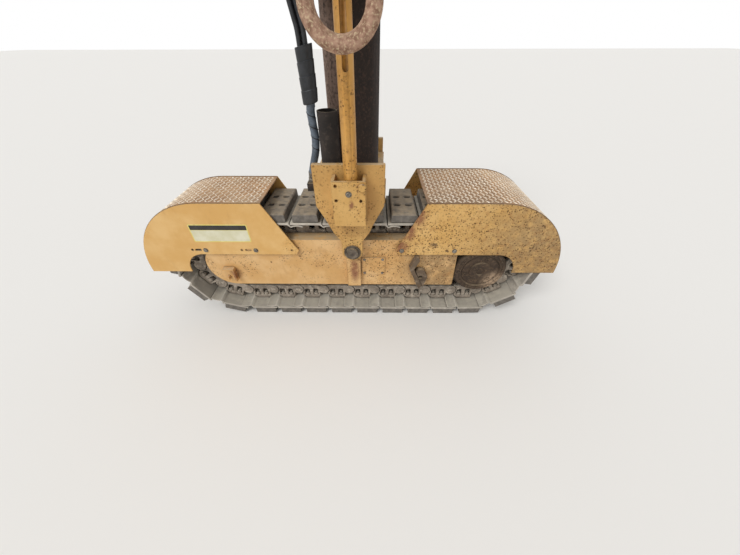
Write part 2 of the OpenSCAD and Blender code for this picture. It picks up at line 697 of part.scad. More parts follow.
// Collar: flange and tube round the column, arm and bush for the rod, steering lever, ring lug
bush_out_r = rod_r + 16;
lever_r = lever_bore_r + 24;
module steer_collar() color("#5f4a33") from_leg() difference() {
    union() {
        translate([0, 0, collar_z0]) cylinder(r = flange_r, h = collar_t, $fn = 96);
        translate([0, 0, collar_z0]) cylinder(r = collar_r, h = collar_h, $fn = 96);
        translate([rod_x - bush_out_r, -rod_y, collar_z0]) cube([2 * bush_out_r, rod_y, collar_t]);
        translate([rod_x, -rod_y, collar_z0 - 10]) cylinder(r = bush_out_r, h = 92);
        translate([lever_reach, 0, collar_z0]) cylinder(r = lever_r, h = collar_t);
        translate([0, 0, collar_z0]) linear_extrude(collar_t)
            polygon([[110, -110], [lever_reach, -lever_r], [lever_reach, lever_r], [110, 110]]);
        ring_lug();
    }
    translate([0, 0, collar_z0 - 1]) cylinder(r = column_r + fit, h = collar_h + 2, $fn = 96);
    translate([rod_x, -rod_y, collar_z0 - 11]) cylinder(r = rod_r + fit, h = 94);
    translate([lever_reach, 0, collar_z0 - 1]) cylinder(r = lever_bore_r, h = collar_t + 2);
    translate([-lug_t / 2 - 1, -ring_y, lug_hole_z]) rotate([0, 90, 0])
        cylinder(r = lug_hole_r, h = lug_t + 2);
}

// Housing: tube with a flange at each end, two webs and the drilled mounting plate
housing_flange_t = 26;
web_t = 20;
module leg_housing() color("#c39645") from_leg() difference() {
    union() {
        translate([0, 0, housing_z0]) cylinder(r = flange_r, h = housing_flange_t, $fn = 96);
        translate([0, 0, housing_z0]) cylinder(r = housing_r, h = housing_z1 - housing_z0, $fn = 96);
        translate([0, 0, housing_z1 - housing_flange_t])
            cylinder(r = flange_r, h = housing_flange_t, $fn = 96);
        translate([-mount_w / 2, mount_y - mount_t, mount_z - mount_h / 2])
            cube([mount_w, mount_t, mount_h]);
        for (x = [-housing_r + 6, housing_r - 6 - web_t])
            translate([x, 0, mount_z - mount_h / 2]) cube([web_t, mount_y - mount_t, mount_h]);
    }
    translate([0, 0, housing_z0 - 1])
        cylinder(r = collar_r + fit, h = housing_z1 - housing_z0 + 2, $fn = 96);
    for (x = [-1, 1], z = [-1, 1])
        translate([x * mount_bolt_x / 2, mount_y + 1, mount_z + z * mount_bolt_z / 2]) rotate([90, 0, 0])
            cylinder(d = mount_hole_d, h = mount_t + 2);
}

// Cap that closes the housing, with a boss in its middle
cap_t = 24;
cap_boss_r = 62;
cap_boss_h = 22;
module leg_cap() color("#4c4038") from_leg() {
    translate([0, 0, housing_z1]) cylinder(r = flange_r, h = cap_t, $fn = 96);
    translate([0, 0, housing_z1 + cap_t]) cylinder(r = cap_boss_r, h = cap_boss_h);
}

// Loop on the collar's flange that the hoses pass through
loop_at = [-165, -143];
loop_r = 46;
loop_bar = 12;
module loop_outline(r) {
    for (x = [-24, 24]) translate([x, 0]) circle(r = r);
    translate([-24, -r]) square([48, 2 * r]);
}
module hose_guide() color("#4c4038") from_leg()
    translate([0, 0, collar_z0 + (collar_t - loop_bar) / 2]) linear_extrude(loop_bar) difference() {
        translate(loop_at) loop_outline(loop_r + loop_bar);
        translate(loop_at) loop_outline(loop_r);
        circle(r = flange_r + seat, $fn = 96);
    }

leg_housing();
leg_cap();
steer_collar();
hose_guide();
lifting_ring();
column();
yoke();
pivot_pins();
rod_bracket();
guide_rod();
stub_pipe();
hose_bundle();
hose_bulkhead();
track_frame();
pivot_posts();
cover_plate();
idler();
idler_axle();
roller(0);  // roller_1
roller(1);  // roller_2
roller(2);  // roller_3
roller(3);  // roller_4
roller(4);  // roller_5
sprocket();
final_drive();
drive_motor();
drive_mount();
track_links();
track_shoes();
track_pads();
drive_guard_side();
drive_guard_tread();
drive_guard_back();
idler_guard_side();
idler_guard_tread();
idler_guard_back();
guard_rails();
step_lug();
chevron_bracket();
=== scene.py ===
"""Finishes and fine pieces of a cold planer's crawler track leg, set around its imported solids."""
import json
import math
import random
from collections import namedtuple

import bmesh
import bpy
from mathutils import Matrix, Vector


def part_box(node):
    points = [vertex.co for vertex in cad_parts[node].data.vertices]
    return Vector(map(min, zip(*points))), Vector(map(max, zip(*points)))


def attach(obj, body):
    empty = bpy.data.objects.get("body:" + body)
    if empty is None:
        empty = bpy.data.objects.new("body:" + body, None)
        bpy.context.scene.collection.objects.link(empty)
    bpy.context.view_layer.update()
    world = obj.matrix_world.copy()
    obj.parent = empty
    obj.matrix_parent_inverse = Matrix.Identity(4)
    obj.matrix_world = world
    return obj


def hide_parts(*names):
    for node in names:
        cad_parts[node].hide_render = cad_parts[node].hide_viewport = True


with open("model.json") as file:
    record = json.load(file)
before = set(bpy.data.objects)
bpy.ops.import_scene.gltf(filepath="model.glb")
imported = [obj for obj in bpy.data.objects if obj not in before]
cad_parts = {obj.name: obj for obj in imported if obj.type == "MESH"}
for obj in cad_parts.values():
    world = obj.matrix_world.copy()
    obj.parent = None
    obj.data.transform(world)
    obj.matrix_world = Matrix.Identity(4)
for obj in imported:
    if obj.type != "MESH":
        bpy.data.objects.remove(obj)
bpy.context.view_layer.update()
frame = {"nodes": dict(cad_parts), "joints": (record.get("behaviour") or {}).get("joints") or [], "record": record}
nodes = frame["nodes"]
record = frame["record"]
scene = bpy.context.scene

# Millimetres everywhere below: x along the track from its pivot, y across it from its middle with
# the outer side at -y, and z above the ground under the pads
joint_at = {j["name"]: Vector(j["pos_m"]) for j in frame["joints"] if j.get("pos_m")}
PIVOT = joint_at["track_rock"]
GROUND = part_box("track_pads")[0].z
LEG_X = (joint_at["leg_steer"].x - PIVOT.x) * 1000
OUTWARD, INWARD, UP, DOWN = (0, -1, 0), (0, 1, 0), (0, 0, 1), (0, 0, -1)


def at(x, y, z):
    """Point of the row frame for a place in millimetres."""
    return Vector((PIVOT.x + x / 1000, PIVOT.y + y / 1000, GROUND + z / 1000))


def mm_box(node):
    """Lowest and highest corners of a CAD node in millimetres."""
    return [Vector(((c.x - PIVOT.x) * 1000, (c.y - PIVOT.y) * 1000, (c.z - GROUND) * 1000))
            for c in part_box(node)]


# Camera at the photograph's place: 1.31 m over the ground, looking 41 degrees down at the track
CAMERA_AT = (98.5, -1324.1, 1310.8)
CAMERA_TILT = math.radians(40.927)
CAMERA_TURN = math.radians(-0.665)
CAMERA_ROLL = math.radians(-0.166)
PHOTO_W = 740
FOCAL_PIXELS = 280.99
SENSOR = 36


def add_camera():
    """Camera with the place, the lens and the slight roll of the photograph."""
    ahead = Vector((math.sin(CAMERA_TURN) * math.cos(CAMERA_TILT),
                    math.cos(CAMERA_TURN) * math.cos(CAMERA_TILT), -math.sin(CAMERA_TILT)))
    level = Vector((math.cos(CAMERA_TURN), -math.sin(CAMERA_TURN), 0))
    above = level.cross(ahead)
    right = math.cos(CAMERA_ROLL) * level + math.sin(CAMERA_ROLL) * above
    up = math.cos(CAMERA_ROLL) * above - math.sin(CAMERA_ROLL) * level
    turned = Matrix((right, up, -ahead)).transposed().to_4x4()
    data = bpy.data.cameras.new("camera")
    data.sensor_width = SENSOR
    data.lens = FOCAL_PIXELS / PHOTO_W * SENSOR
    camera = bpy.data.objects.new("camera", data)
    camera.matrix_world = Matrix.Translation(at(*CAMERA_AT)) @ turned
    scene.collection.objects.link(camera)
    scene.camera = camera


add_camera()


# Materials: a mask is 0 where a coat is missing and 1 where it is full

def srgb(code):
    """Linear colour of an sRGB hex value."""
    parts = [int(code[i:i + 2], 16) / 255 for i in (1, 3, 5)]
    return [c / 12.92 if c <= 0.04045 else ((c + 0.055) / 1.055) ** 2.4 for c in parts] + [1]


def add(tree, kind, links=None, **settings):
    """Adds a node with its settings; links gives each input a socket or a value."""
    made = tree.nodes.new(kind)
    for key, value in settings.items():
        setattr(made, key, value)
    for name, source in (links or {}).items():
        if isinstance(source, bpy.types.NodeSocket):
            tree.links.new(source, made.inputs[name])
        else:
            made.inputs[name].default_value = source
    return made


def new_material(name):
    """Empty material with its tree and shader, and object coordinates in metres."""
    made = bpy.data.materials.new(name)
    made.use_nodes = True
    tree = made.node_tree
    where = add(tree, "ShaderNodeTexCoord").outputs["Object"]
    return made, tree, tree.nodes["Principled BSDF"], where


def lay(tree, under, tone, thickness, *masks):
    """Lays a tone over a colour: thickness is how well it hides it where every mask is 1."""
    cover = thickness
    for mask in masks:
        cover = add(tree, "ShaderNodeMath", {0: cover, 1: mask}, operation="MULTIPLY",
                    use_clamp=True).outputs[0]
    return add(tree, "ShaderNodeMix", {"Factor": cover, "A": under, "B": srgb(tone)},
               data_type="RGBA").outputs["Result"]


def strongest(tree, mask, *others):
    """The highest of several masks at each point."""
    for other in others:
        mask = add(tree, "ShaderNodeMath", {0: mask, 1: other}, operation="MAXIMUM").outputs[0]
    return mask


def clouds(tree, where, size, low, high, stretch=(1, 1, 1)):
    """Soft patches about size mm across: 0 where the noise is under low, 1 where it is over high."""
    spread = add(tree, "ShaderNodeMapping", {"Vector": where, "Scale": stretch}).outputs[0]
    noise = add(tree, "ShaderNodeTexNoise", {"Vector": spread, "Scale": 1000 / size, "Detail": 4.0,
                                             "Roughness": 0.6}).outputs["Fac"]
    return add(tree, "ShaderNodeMapRange", {"Value": noise, "From Min": low, "From Max": high},
               interpolation_type="SMOOTHSTEP").outputs[0]


def specks(tree, where, spacing, size, share):
    """Dots up to size mm, one for each spacing mm, whose edges a finer noise makes ragged; share is
    the part of them that show."""
    ragged = add(tree, "ShaderNodeTexNoise", {"Vector": where, "Scale": 2500 / size,
                                              "Detail": 2.0}).outputs["Color"]
    shift = add(tree, "ShaderNodeVectorMath", {0: ragged, 1: (0.5, 0.5, 0.5)},
                operation="SUBTRACT").outputs[0]
    moved = add(tree, "ShaderNodeVectorMath", {0: shift, 1: (size / 1400,) * 3, 2: where},
                operation="MULTIPLY_ADD").outputs[0]
    cells = add(tree, "ShaderNodeTexVoronoi", {"Vector": moved, "Scale": 1000 / spacing})
    chance = add(tree, "ShaderNodeSeparateColor", {"Color": cells.outputs["Color"]}).outputs[0]
    radius = add(tree, "ShaderNodeMapRange", {"Value": chance, "From Min": 1 - share, "From Max": 1.0,
                                              "To Max": size / spacing / 2}).outputs[0]
    inside = add(tree, "ShaderNodeMath", {0: radius, 1: cells.outputs["Distance"]},
                 operation="SUBTRACT").outputs[0]
    return add(tree, "ShaderNodeMapRange", {"Value": inside, "From Min": 0.0,
                                            "From Max": 0.25 * size / spacing}).outputs[0]


def worn_edges(tree, where, width, softness, strength):
    """Edges within about width mm, up to strength, broken up by noise that fades over softness."""
    rounded = add(tree, "ShaderNodeBevel", {"Radius": width / 1000}, samples=4).outputs[0]
    true_normal = add(tree, "ShaderNodeNewGeometry").outputs["True Normal"]
    flat = add(tree, "ShaderNodeVectorMath", {0: rounded, 1: true_normal},
               operation="DOT_PRODUCT").outputs["Value"]
    bend = add(tree, "ShaderNodeMapRange", {"Value": flat, "From Min": 0.985, "From Max": 0.9,
                                            "To Max": strength}).outputs[0]
    broken = clouds(tree, where, 12, 0.5 - softness / 2, 0.5 + softness / 2)
    return add(tree, "ShaderNodeMath", {0: bend, 1: broken}, operation="MULTIPLY").outputs[0]


def facing(tree, axis):
    """How far a face looks along an axis of the object, from -1 to 1."""
    normal = add(tree, "ShaderNodeNewGeometry").outputs["Normal"]
    local = add(tree, "ShaderNodeVectorTransform", {"Vector": normal}, vector_type="NORMAL",
                convert_from="WORLD", convert_to="OBJECT").outputs[0]
    return add(tree, "ShaderNodeSeparateXYZ", {"Vector": local}).outputs[axis]


def facing_up(tree, low):
    """0 on walls and up to a rise of low, and 1 on faces that look up, where dust lies and, on the hoses, a
    painted highlight.
    """
    return add(tree, "ShaderNodeMapRange", {"Value": facing(tree, "Z"), "From Min": low,
                                            "From Max": 0.9}).outputs[0]


def near(tree, where, centre, reach, squash=(1, 1, 1)):
    """1 within a quarter of reach mm of a place, falling to 0 at reach; squash under 1 lengthens the
    patch along that axis."""
    apart = add(tree, "ShaderNodeVectorMath", {0: where, 1: at(*centre)}, operation="SUBTRACT").outputs[0]
    apart = add(tree, "ShaderNodeVectorMath", {0: apart, 1: squash}, operation="MULTIPLY").outputs[0]
    distance = add(tree, "ShaderNodeVectorMath", {0: apart}, operation="LENGTH").outputs["Value"]
    return add(tree, "ShaderNodeMapRange", {"Value": distance, "From Min": reach / 1000,
                                            "From Max": reach / 4000},
               interpolation_type="SMOOTHSTEP").outputs[0]


def crevices(tree, reach):
    """Corners and gaps narrower than about reach mm, found by ambient occlusion: the mask of the painted shade and
    dirt there.
    """
    open_sky = add(tree, "ShaderNodeAmbientOcclusion", {"Distance": reach / 1000}, samples=6).outputs["AO"]
    return add(tree, "ShaderNodeMapRange", {"Value": open_sky, "From Min": 0.8,
                                            "From Max": 0.25}).outputs[0]


def roughen(tree, shader, where, grain, strength, depth, detail=3.0, pits=None, sink=0.0):
    """Bump of grain mm and depth mm on a surface, with pits sunk into it by sink of that depth."""
    height = add(tree, "ShaderNodeTexNoise", {"Vector": where, "Scale": 1000 / grain,
                                              "Detail": detail}).outputs["Fac"]
    if pits is not None:
        height = add(tree, "ShaderNodeMath", {0: pits, 1: -sink, 2: height},
                     operation="MULTIPLY_ADD").outputs[0]
    bump = add(tree, "ShaderNodeBump", {"Height": height, "Strength": strength, "Distance": depth / 1000})
    tree.links.new(bump.outputs[0], shader.inputs["Normal"])


RUST_SPECK = "#43280f"
RUST_HALO = "#96622e"
RUST_STREAK = "#7e4a30"
PAINTED_LIGHT_ON_RUST = "#877062"
ROAD_DUST = "#c2ad8c"
CHAIN_DUST = "#bfb8a8"
DRUM_DUST = "#a68e75"
BROWN_TONE = "#8d7048"
CORNER_SHADE_AND_DIRT = "#6a5238"
CREVICE_SHADE_AND_GRIME = "#2a231c"


def enamel(name, paint, faded, rust=0.5, dust=0.6, wear=0.35, chipped=4, patches=(), streaks=(), brown_tones=()):
    """Machine enamel sprayed on welded plate: an even warm yellow with a dull gloss, bleached in
    clouds of 150 mm, pitted by rust specks of up to 15 mm with orange halos, chipped to rust within
    chipped mm of its edges, darkened brown in its corners by painted shade and dirt, and with pale
    road dust on what faces up. patches lists (place, reach) of dense rust and streaks lists (place,
    reach, squash, colour) of rust runs, a few of both also painted shade; the last list holds
    (place, reach) where the paint is toned a darker brown."""
    made, tree, shader, where = new_material(name)
    colour = lay(tree, srgb(paint), faded, 1, clouds(tree, where, 150, 0.35, 0.7))
    colour = lay(tree, colour, RUST_HALO, 0.25, clouds(tree, where, 60, 0.55, 0.8, stretch=(1, 1, 0.3)))
    # Darker brown tone laid over the paint around given places
    for place, reach in brown_tones:
        colour = lay(tree, colour, BROWN_TONE, 0.8, near(tree, where, place, reach),
                     clouds(tree, where, 40, 0.2, 0.6))
    rusty = clouds(tree, where, 130, 0.66 - 0.5 * rust, 0.8 - 0.25 * rust)
    rusty = strongest(tree, rusty, *[near(tree, where, place, reach) for place, reach in patches])
    colour = lay(tree, colour, RUST_HALO, 0.4, clouds(tree, where, 16, 0.48, 0.66), rusty)
    dense = strongest(tree, specks(tree, where, 11, 12, 0.4 + 0.6 * rust),
                      specks(tree, where, 8, 9, 0.3 + 0.7 * rust))
    dense = add(tree, "ShaderNodeMath", {0: dense, 1: rusty}, operation="MULTIPLY").outputs[0]
    bare = strongest(tree, dense, specks(tree, where, 38, 15, 0.12 + 0.25 * rust),
                     worn_edges(tree, where, chipped, 0.3, wear))
    colour = lay(tree, colour, RUST_SPECK, 0.92, bare)
    for place, reach, squash, tone in streaks:
        colour = lay(tree, colour, tone, 0.85, near(tree, where, place, reach, squash),
                     clouds(tree, where, 20, 0.25, 0.5))
    colour = lay(tree, colour, ROAD_DUST, dust, facing_up(tree, 0.35), clouds(tree, where, 45, 0.3, 0.55))
    # Painted shade and dirt: corners and gaps darkened brown
    colour = lay(tree, colour, CORNER_SHADE_AND_DIRT, 0.7, crevices(tree, 16))
    tree.links.new(colour, shader.inputs["Base Color"])
    dull = add(tree, "ShaderNodeMapRange", {"Value": bare, "To Min": 0.48, "To Max": 0.9}).outputs[0]
    tree.links.new(dull, shader.inputs["Roughness"])
    roughen(tree, shader, where, 9, 0.25, 0.8, pits=bare, sink=0.5)
    return made


def rusted_steel(name, dark, middle, light, size=30, dust=0.4, roughness=0.85, pits=0.5,
                 dust_and_highlight_colour=ROAD_DUST, patches=(), shade_and_dirt_reach=14):
    """Bare forged or rolled steel under a skin of rust: matt, mottled in three browns at size mm,
    pitted every 8 mm, darkened in gaps by painted shade and dirt, its edges rubbed lighter and dust
    on what faces up. patches lists (place, reach, squash, colour) of dust, or of painted light on a
    lit side. The last argument is how wide, in mm, a gap takes that painted shade."""
    made, tree, shader, where = new_material(name)
    colour = lay(tree, srgb(dark), middle, 1, clouds(tree, where, size * 3, 0.35, 0.65))
    colour = lay(tree, colour, light, 1, clouds(tree, where, size, 0.48, 0.72))
    pitted = specks(tree, where, 8, 4, pits)
    colour = lay(tree, colour, dark, 0.5, pitted)
    colour = lay(tree, colour, light, 1, worn_edges(tree, where, 3, 0.4, 0.5))
    colour = lay(tree, colour, dust_and_highlight_colour, dust, facing_up(tree, 0.3), clouds(tree, where, 30, 0.15, 0.7))
    for place, reach, squash, tone in patches:
        colour = lay(tree, colour, tone, 1, near(tree, where, place, reach, squash),
                     clouds(tree, where, 12, 0.25, 0.6))
    # Painted shade and dirt: gaps darkened almost black
    colour = lay(tree, colour, CREVICE_SHADE_AND_GRIME, 0.75, crevices(tree, shade_and_dirt_reach))
    tree.links.new(colour, shader.inputs["Base Color"])
    shader.inputs["Roughness"].default_value = roughness
    shader.inputs["Metallic"].default_value = 0.15
    roughen(tree, shader, where, 14, 0.5, 1.5, detail=5.0, pits=pitted, sink=0.6)
    return made


def moulded_rubber(name, dark, dusty, roughness=0.8, dust=0.7, dust_and_highlight_colour=ROAD_DUST):
    """Moulded rubber: matt dark surface, scuffed paler in patches of 25 mm and paler on what faces up, with grey
    dry dust on the pads and a painted highlight on the hoses.
    """
    made, tree, shader, where = new_material(name)
    colour = lay(tree, srgb(dark), dusty, 1, clouds(tree, where, 25, 0.35, 0.7))
    colour = lay(tree, colour, dust_and_highlight_colour, dust, facing_up(tree, 0.2), clouds(tree, where, 35, 0.15, 0.75))
    tree.links.new(colour, shader.inputs["Base Color"])
    shader.inputs["Roughness"].default_value = roughness
    roughen(tree, shader, where, 4, 0.3, 0.6)
    return made


def tread_sheet(name):
    """Rolled tread sheet, once sprayed yellow: paint gone to brown steel between the lozenges in
    patches of 14 and 90 mm, chalky in clouds of 160 mm, and dark on its cut edges, the faces across the track,
    with painted shade and wear."""
    made, tree, shader, where = new_material(name)
    colour = lay(tree, srgb("#b58a5e"), "#a07a55", 1, clouds(tree, where, 90, 0.35, 0.65))
    colour = lay(tree, colour, "#85613f", 1, clouds(tree, where, 14, 0.5, 0.7))
    colour = lay(tree, colour, "#cdb08c", 0.6, clouds(tree, where, 160, 0.4, 0.7))
    # Painted shade and wear: faces that look across the track are darkened
    across = facing(tree, "Y")
    cut_edge_shade_and_wear = add(tree, "ShaderNodeMath", {0: across, 1: across}, operation="MULTIPLY").outputs[0]
    colour = lay(tree, colour, "#4c3622", 1, cut_edge_shade_and_wear)
    tree.links.new(colour, shader.inputs["Base Color"])
    shader.inputs["Roughness"].default_value = 0.55
    shader.inputs["Metallic"].default_value = 0.2
    roughen(tree, shader, where, 5, 0.3, 0.6)
    return made


def vinyl(name, colour, faded):
    """Printed vinyl film left blank: satin, sun-bleached in clouds of 60 mm and dusty in specks."""
    made, tree, shader, where = new_material(name)
    tone = lay(tree, srgb(colour), faded, 1, clouds(tree, where, 60, 0.35, 0.7))
    tone = lay(tree, tone, RUST_HALO, 0.5, specks(tree, where, 17, 8, 0.3))
    tree.links.new(tone, shader.inputs["Base Color"])
    shader.inputs["Roughness"].default_value = 0.42
    return made


# Squash of a patch: the same all round, a long run down the plate, and a short one
EVEN, UPRIGHT, SHORT = (1, 1, 1), (1, 1, 0.3), (1, 1, 0.6)

FINISH = {
    "housing_paint": enamel("enamel_housing", "#b98a42", "#c99d56", rust=0.35, dust=0.6),
    "frame_paint": enamel("enamel_frame", "#cfa163", "#dfb780", rust=0.4, dust=0.8, wear=0.6, chipped=6,
                          # The patch and the run at x -645 darken the step lug's right side: painted shade and
                          # rust
                          patches=[((130, -145, 440), 300), ((460, -145, 360), 330),
                                   ((200, -145, 250), 160), ((-645, -160, 320), 40)],
                          streaks=[((5, -170, 360), 34, UPRIGHT, RUST_STREAK),
                                   ((-650, -165, 320), 50, EVEN, RUST_STREAK)],
                          brown_tones=[((470, -145, 350), 300)]),
    "guard_paint": enamel("enamel_guard", "#cea15a", "#dbb270", rust=1.0, dust=0.7, wear=0.85, chipped=9,
                          patches=[((290, -165, 520), 300), ((403, -165, 514), 40)],
                          streaks=[((403, -165, 518), 30, (1, 1, 1.8), RUST_SPECK),
                                   ((240, -165, 505), 55, EVEN, RUST_STREAK),
                                   ((275, -165, 590), 45, SHORT, RUST_STREAK),
                                   ((315, -165, 670), 38, SHORT, RUST_STREAK)],
                          brown_tones=[((1030, -165, 470), 620)]),
    "yoke_paint": enamel("enamel_yoke", "#c09452", "#d1a661", rust=0.6, dust=0.7, wear=0.6, chipped=6,
                         patches=[((0, -190, 560), 170)]),
    "bracket_paint": enamel("enamel_bracket", "#c79a54", "#d3a864", rust=0.6, dust=0.5, wear=0.85, chipped=6,
                            streaks=[((12, -280, 790), 14, (1, 1, 0.5), RUST_STREAK)]),
    "rod_paint": enamel("enamel_rod", "#c28c3c", "#cd9a4e", rust=0.5, dust=0.4,
                        patches=[((15, -245, 900), 160)]),
    "dark_steel": rusted_steel("oiled_steel", "#211c19", "#302925", "#473d36", dust=0.3),
    "collar_steel": rusted_steel("collar_steel", "#4e3b28", "#6b5236", "#80654a", dust=0.4),
    "ring_rust": rusted_steel("forged_ring_rust", "#83614d", "#b18e78", "#cab493", size=6, dust=0.2,
                              pits=0.9),
    # Painted shade and light: these browns are darkened for the shade the column stands in, and the pale patch on
    # its left is painted light on its lit side
    "column_rust": rusted_steel("column_rust", "#1a0f08", "#24170e", "#3d2b21", size=9, dust=0.2,
                                patches=[((-95, -30, 1200), 130, (1, 1, 0.06), PAINTED_LIGHT_ON_RUST)]),
    "wheel_steel": rusted_steel("wheel_steel", "#4c423a", "#655a4e", "#857a6b", dust=0.6),
    "drive_rust": rusted_steel("drive_drum_rust", "#3a2d22", "#4c3c2e", "#63503d", size=14, dust=0.3,
                               patches=[((765, -150, 272), 85, EVEN, DRUM_DUST)]),
    # Painted shade: a wide reach darkens the link windows and the gaps between the links
    "chain_steel": rusted_steel("chain_steel", "#857a6e", "#a4988a", "#c6bbab", size=20, dust=0.8,
                                dust_and_highlight_colour=CHAIN_DUST, shade_and_dirt_reach=26),
    "bracket_steel": rusted_steel("weathered_bracket_steel", "#4c3f32", "#6a5947", "#8a7966", dust=0.6),
    # Painted highlight: the pale grey on faces that look up lights the edges of the sleeve's wound bands
    "hose_rubber": moulded_rubber("hose_sleeve", "#17191c", "#2a2c30", roughness=0.5, dust=0.4,
                                  dust_and_highlight_colour="#565a62"),
    "pad_rubber": moulded_rubber("pad_rubber", "#5f5a53", "#79726a", dust=0.5),
    "tread_paint": tread_sheet("tread_sheet_worn"),
}
CLEAN_GUARD = enamel("enamel_guard_clean", "#d4a55e", "#e0b777", rust=0.15, dust=0.7, wear=0.6, chipped=6)
SHOE_STEEL = rusted_steel("shoe_plate_steel", "#a19a8f", "#b7afa3", "#cfc7ba", size=60, dust=0.9, pits=0.2,
                          dust_and_highlight_colour=CHAIN_DUST)
RUBBED_TOPS = rusted_steel("tread_tops_rubbed", "#cdb698", "#e6d6bd", "#f8eedd", size=24, dust=0.0,
                           roughness=0.4, pits=0.2)
BOLT_STEEL = rusted_steel("bolt_heads", "#5a544d", "#7a746b", "#a09a8e", size=8, dust=0.3, roughness=0.6)
RUSTED_WELD = rusted_steel("rusted_weld", "#4a2f18", "#5f4226", "#7d5c3d", size=12, dust=0.2)
# Painted highlight: the pale blue-grey on faces that look up
BLUE_HOSE = moulded_rubber("hose_cover_blue_grey", "#4b5560", "#687380", roughness=0.55, dust=0.3,
                           dust_and_highlight_colour="#8c9298")


# Shapes: each is a pair of a list of points and a list of faces

def join_shapes(shapes):
    """One shape of several."""
    points, faces = [], []
    for more, loops in shapes:
        start = len(points)
        points += more
        faces += [[start + i for i in loop] for loop in loops]
    return points, faces


def moved_by(shape, matrix):
    """The same shape with its points moved by a matrix."""
    return [tuple(matrix @ Vector(p)) for p in shape[0]], shape[1]


def mirrored(shape):
    """The same shape on the other side of the track."""
    return [(x, -y, z) for x, y, z in shape[0]], [loop[::-1] for loop in shape[1]]


def along_axis(centre, axis):
    """Matrix that turns a shape drawn up the z axis to another axis, and moves it to centre."""
    turn = Vector(UP).rotation_difference(Vector(axis)).to_matrix().to_4x4()
    return Matrix.Translation(centre) @ turn


def bevelled(shape, width):
    """Chamfers every edge of a shape that bends by more than 30 degrees."""
    mesh = bmesh.new()
    corners = [mesh.verts.new(p) for p in shape[0]]
    for loop in shape[1]:
        mesh.faces.new([corners[i] for i in loop])
    bmesh.ops.recalc_face_normals(mesh, faces=mesh.faces)
    sharp = [e for e in mesh.edges if len(e.link_faces) == 2 and e.calc_face_angle(0) > math.radians(30)]
    bmesh.ops.bevel(mesh, geom=sharp, offset=width, segments=1, affect="EDGES", profile=0.5)
    mesh.verts.index_update()
    points = [tuple(v.co) for v in mesh.verts]
    faces = [[v.index for v in f.verts] for f in mesh.faces]
    mesh.free()
    return points, faces


def skin(rings):
    """Closed shape over a row of rings that have equally many points."""
    n = len(rings[0])
    points = [tuple(p) for ring in rings for p in ring]
    faces = [[i * n + k, i * n + (k + 1) % n, (i + 1) * n + (k + 1) % n, (i + 1) * n + k]
             for i in range(len(rings) - 1) for k in range(n)]
    return points, faces + [list(range(n))[::-1], list(range(len(points) - n, len(points)))]


def prism(outline, y0, y1):
    """Outline in x and z, pulled from y0 to y1."""
    return skin([[(x, y, z) for x, z in outline] for y in (y0, y1)])


def arc(centre, radius, start, end, steps):
    """Points on an arc in degrees."""
    turns = [math.radians(start + (end - start) * i / steps) for i in range(steps + 1)]
    return [(centre[0] + radius * math.cos(t), centre[1] + radius * math.sin(t)) for t in turns]


def evenly_round(centre, radius, start, count):
    """Points evenly spaced round a circle, from start degrees."""
    return arc(centre, radius, start, start + 360, count)[:-1]


def lathe(profile, centre, axis, segments=48):
    """Turns a profile of (radius, height) about an axis through centre."""
    points, faces, rings = [], [], []
    for radius, height in profile:
        ring = evenly_round((0, 0), radius, 0, segments) if radius > 0.001 else [(0, 0)]
        rings.append(list(range(len(points), len(points) + len(ring))))
        points += [(x, y, height) for x, y in ring]
    for low, high in zip(rings, rings[1:]):
        for i in range(segments):
            j = (i + 1) % segments
            loop = [low[i % len(low)], low[j % len(low)], high[j % len(high)], high[i % len(high)]]
            loop = list(dict.fromkeys(loop))
            if len(loop) > 2:
                faces.append(loop)
    return moved_by((points, faces), along_axis(centre, axis))


def tube(route, radii, sides=12):
    """Round tube along a route, with a radius at each point and closed ends."""
    spots = [Vector(p) for p in route]
    last = len(spots) - 1
    side = (spots[1] - spots[0]).orthogonal()
    rings = []
    for i, spot in enumerate(spots):
        ahead = (spots[min(i + 1, last)] - spots[max(i - 1, 0)]).normalized()
        side = (side - side.project(ahead)).normalized()
        over = ahead.cross(side)
        rings.append([spot + u * side + v * over for u, v in evenly_round((0, 0), radii[i], 0, sides)])
    return skin(rings)


def smooth_route(points, steps=6):
    """Catmull-Rom curve through a row of points."""
    rows = [Vector(p) for p in points]
    rows = [2 * rows[0] - rows[1]] + rows + [2 * rows[-1] - rows[-2]]
    curve = []
    for a, b, c, d in zip(rows, rows[1:], rows[2:], rows[3:]):
        for k in range(steps):
            t = k / steps
            curve.append(0.5 * (2 * b + (c - a) * t + (2 * a - 5 * b + 4 * c - d) * t ** 2
                                + (3 * b - a - 3 * c + d) * t ** 3))
    return curve + [rows[-2]]


def cut_plate(outline, holes, y0, y1, edge):
    """Plate in x and z with holes, from y0 to y1, its edges chamfered by edge mm."""
    data = bpy.data.curves.new("plate", "CURVE")
    data.dimensions = "2D"
    data.fill_mode = "BOTH"
    data.extrude = (y1 - y0) / 2 - edge
    data.bevel_depth = edge
    data.bevel_resolution = 0
    data.offset = -edge
    for loop in [outline] + holes:
        spline = data.splines.new("POLY")
        spline.points.add(len(loop) - 1)
        for point, (x, z) in zip(spline.points, loop):
            point.co = (x, z, 0, 1)
        spline.use_cyclic_u = True
    holder = bpy.data.objects.new("plate", data)
    scene.collection.objects.link(holder)
    mesh = bpy.data.meshes.new_from_object(holder.evaluated_get(bpy.context.evaluated_depsgraph_get()))
    middle = (y0 + y1) / 2
    points = [(v.co.x, middle - v.co.z, v.co.y) for v in mesh.vertices]
    faces = [list(p.vertices) for p in mesh.polygons]
    bpy.data.objects.remove(holder)
    bpy.data.curves.remove(data)
    bpy.data.meshes.remove(mesh)
    return points, faces


# Hexagon radius of each bolt head
PAD_BOLT, COVER_BOLT, MOTOR_BOLT = 8, 6, 6.5
GUARD_BOLT, BRACKET_BOLT, PORT_BOLT, CAP_BOLT = 9.5, 10, 11, 11


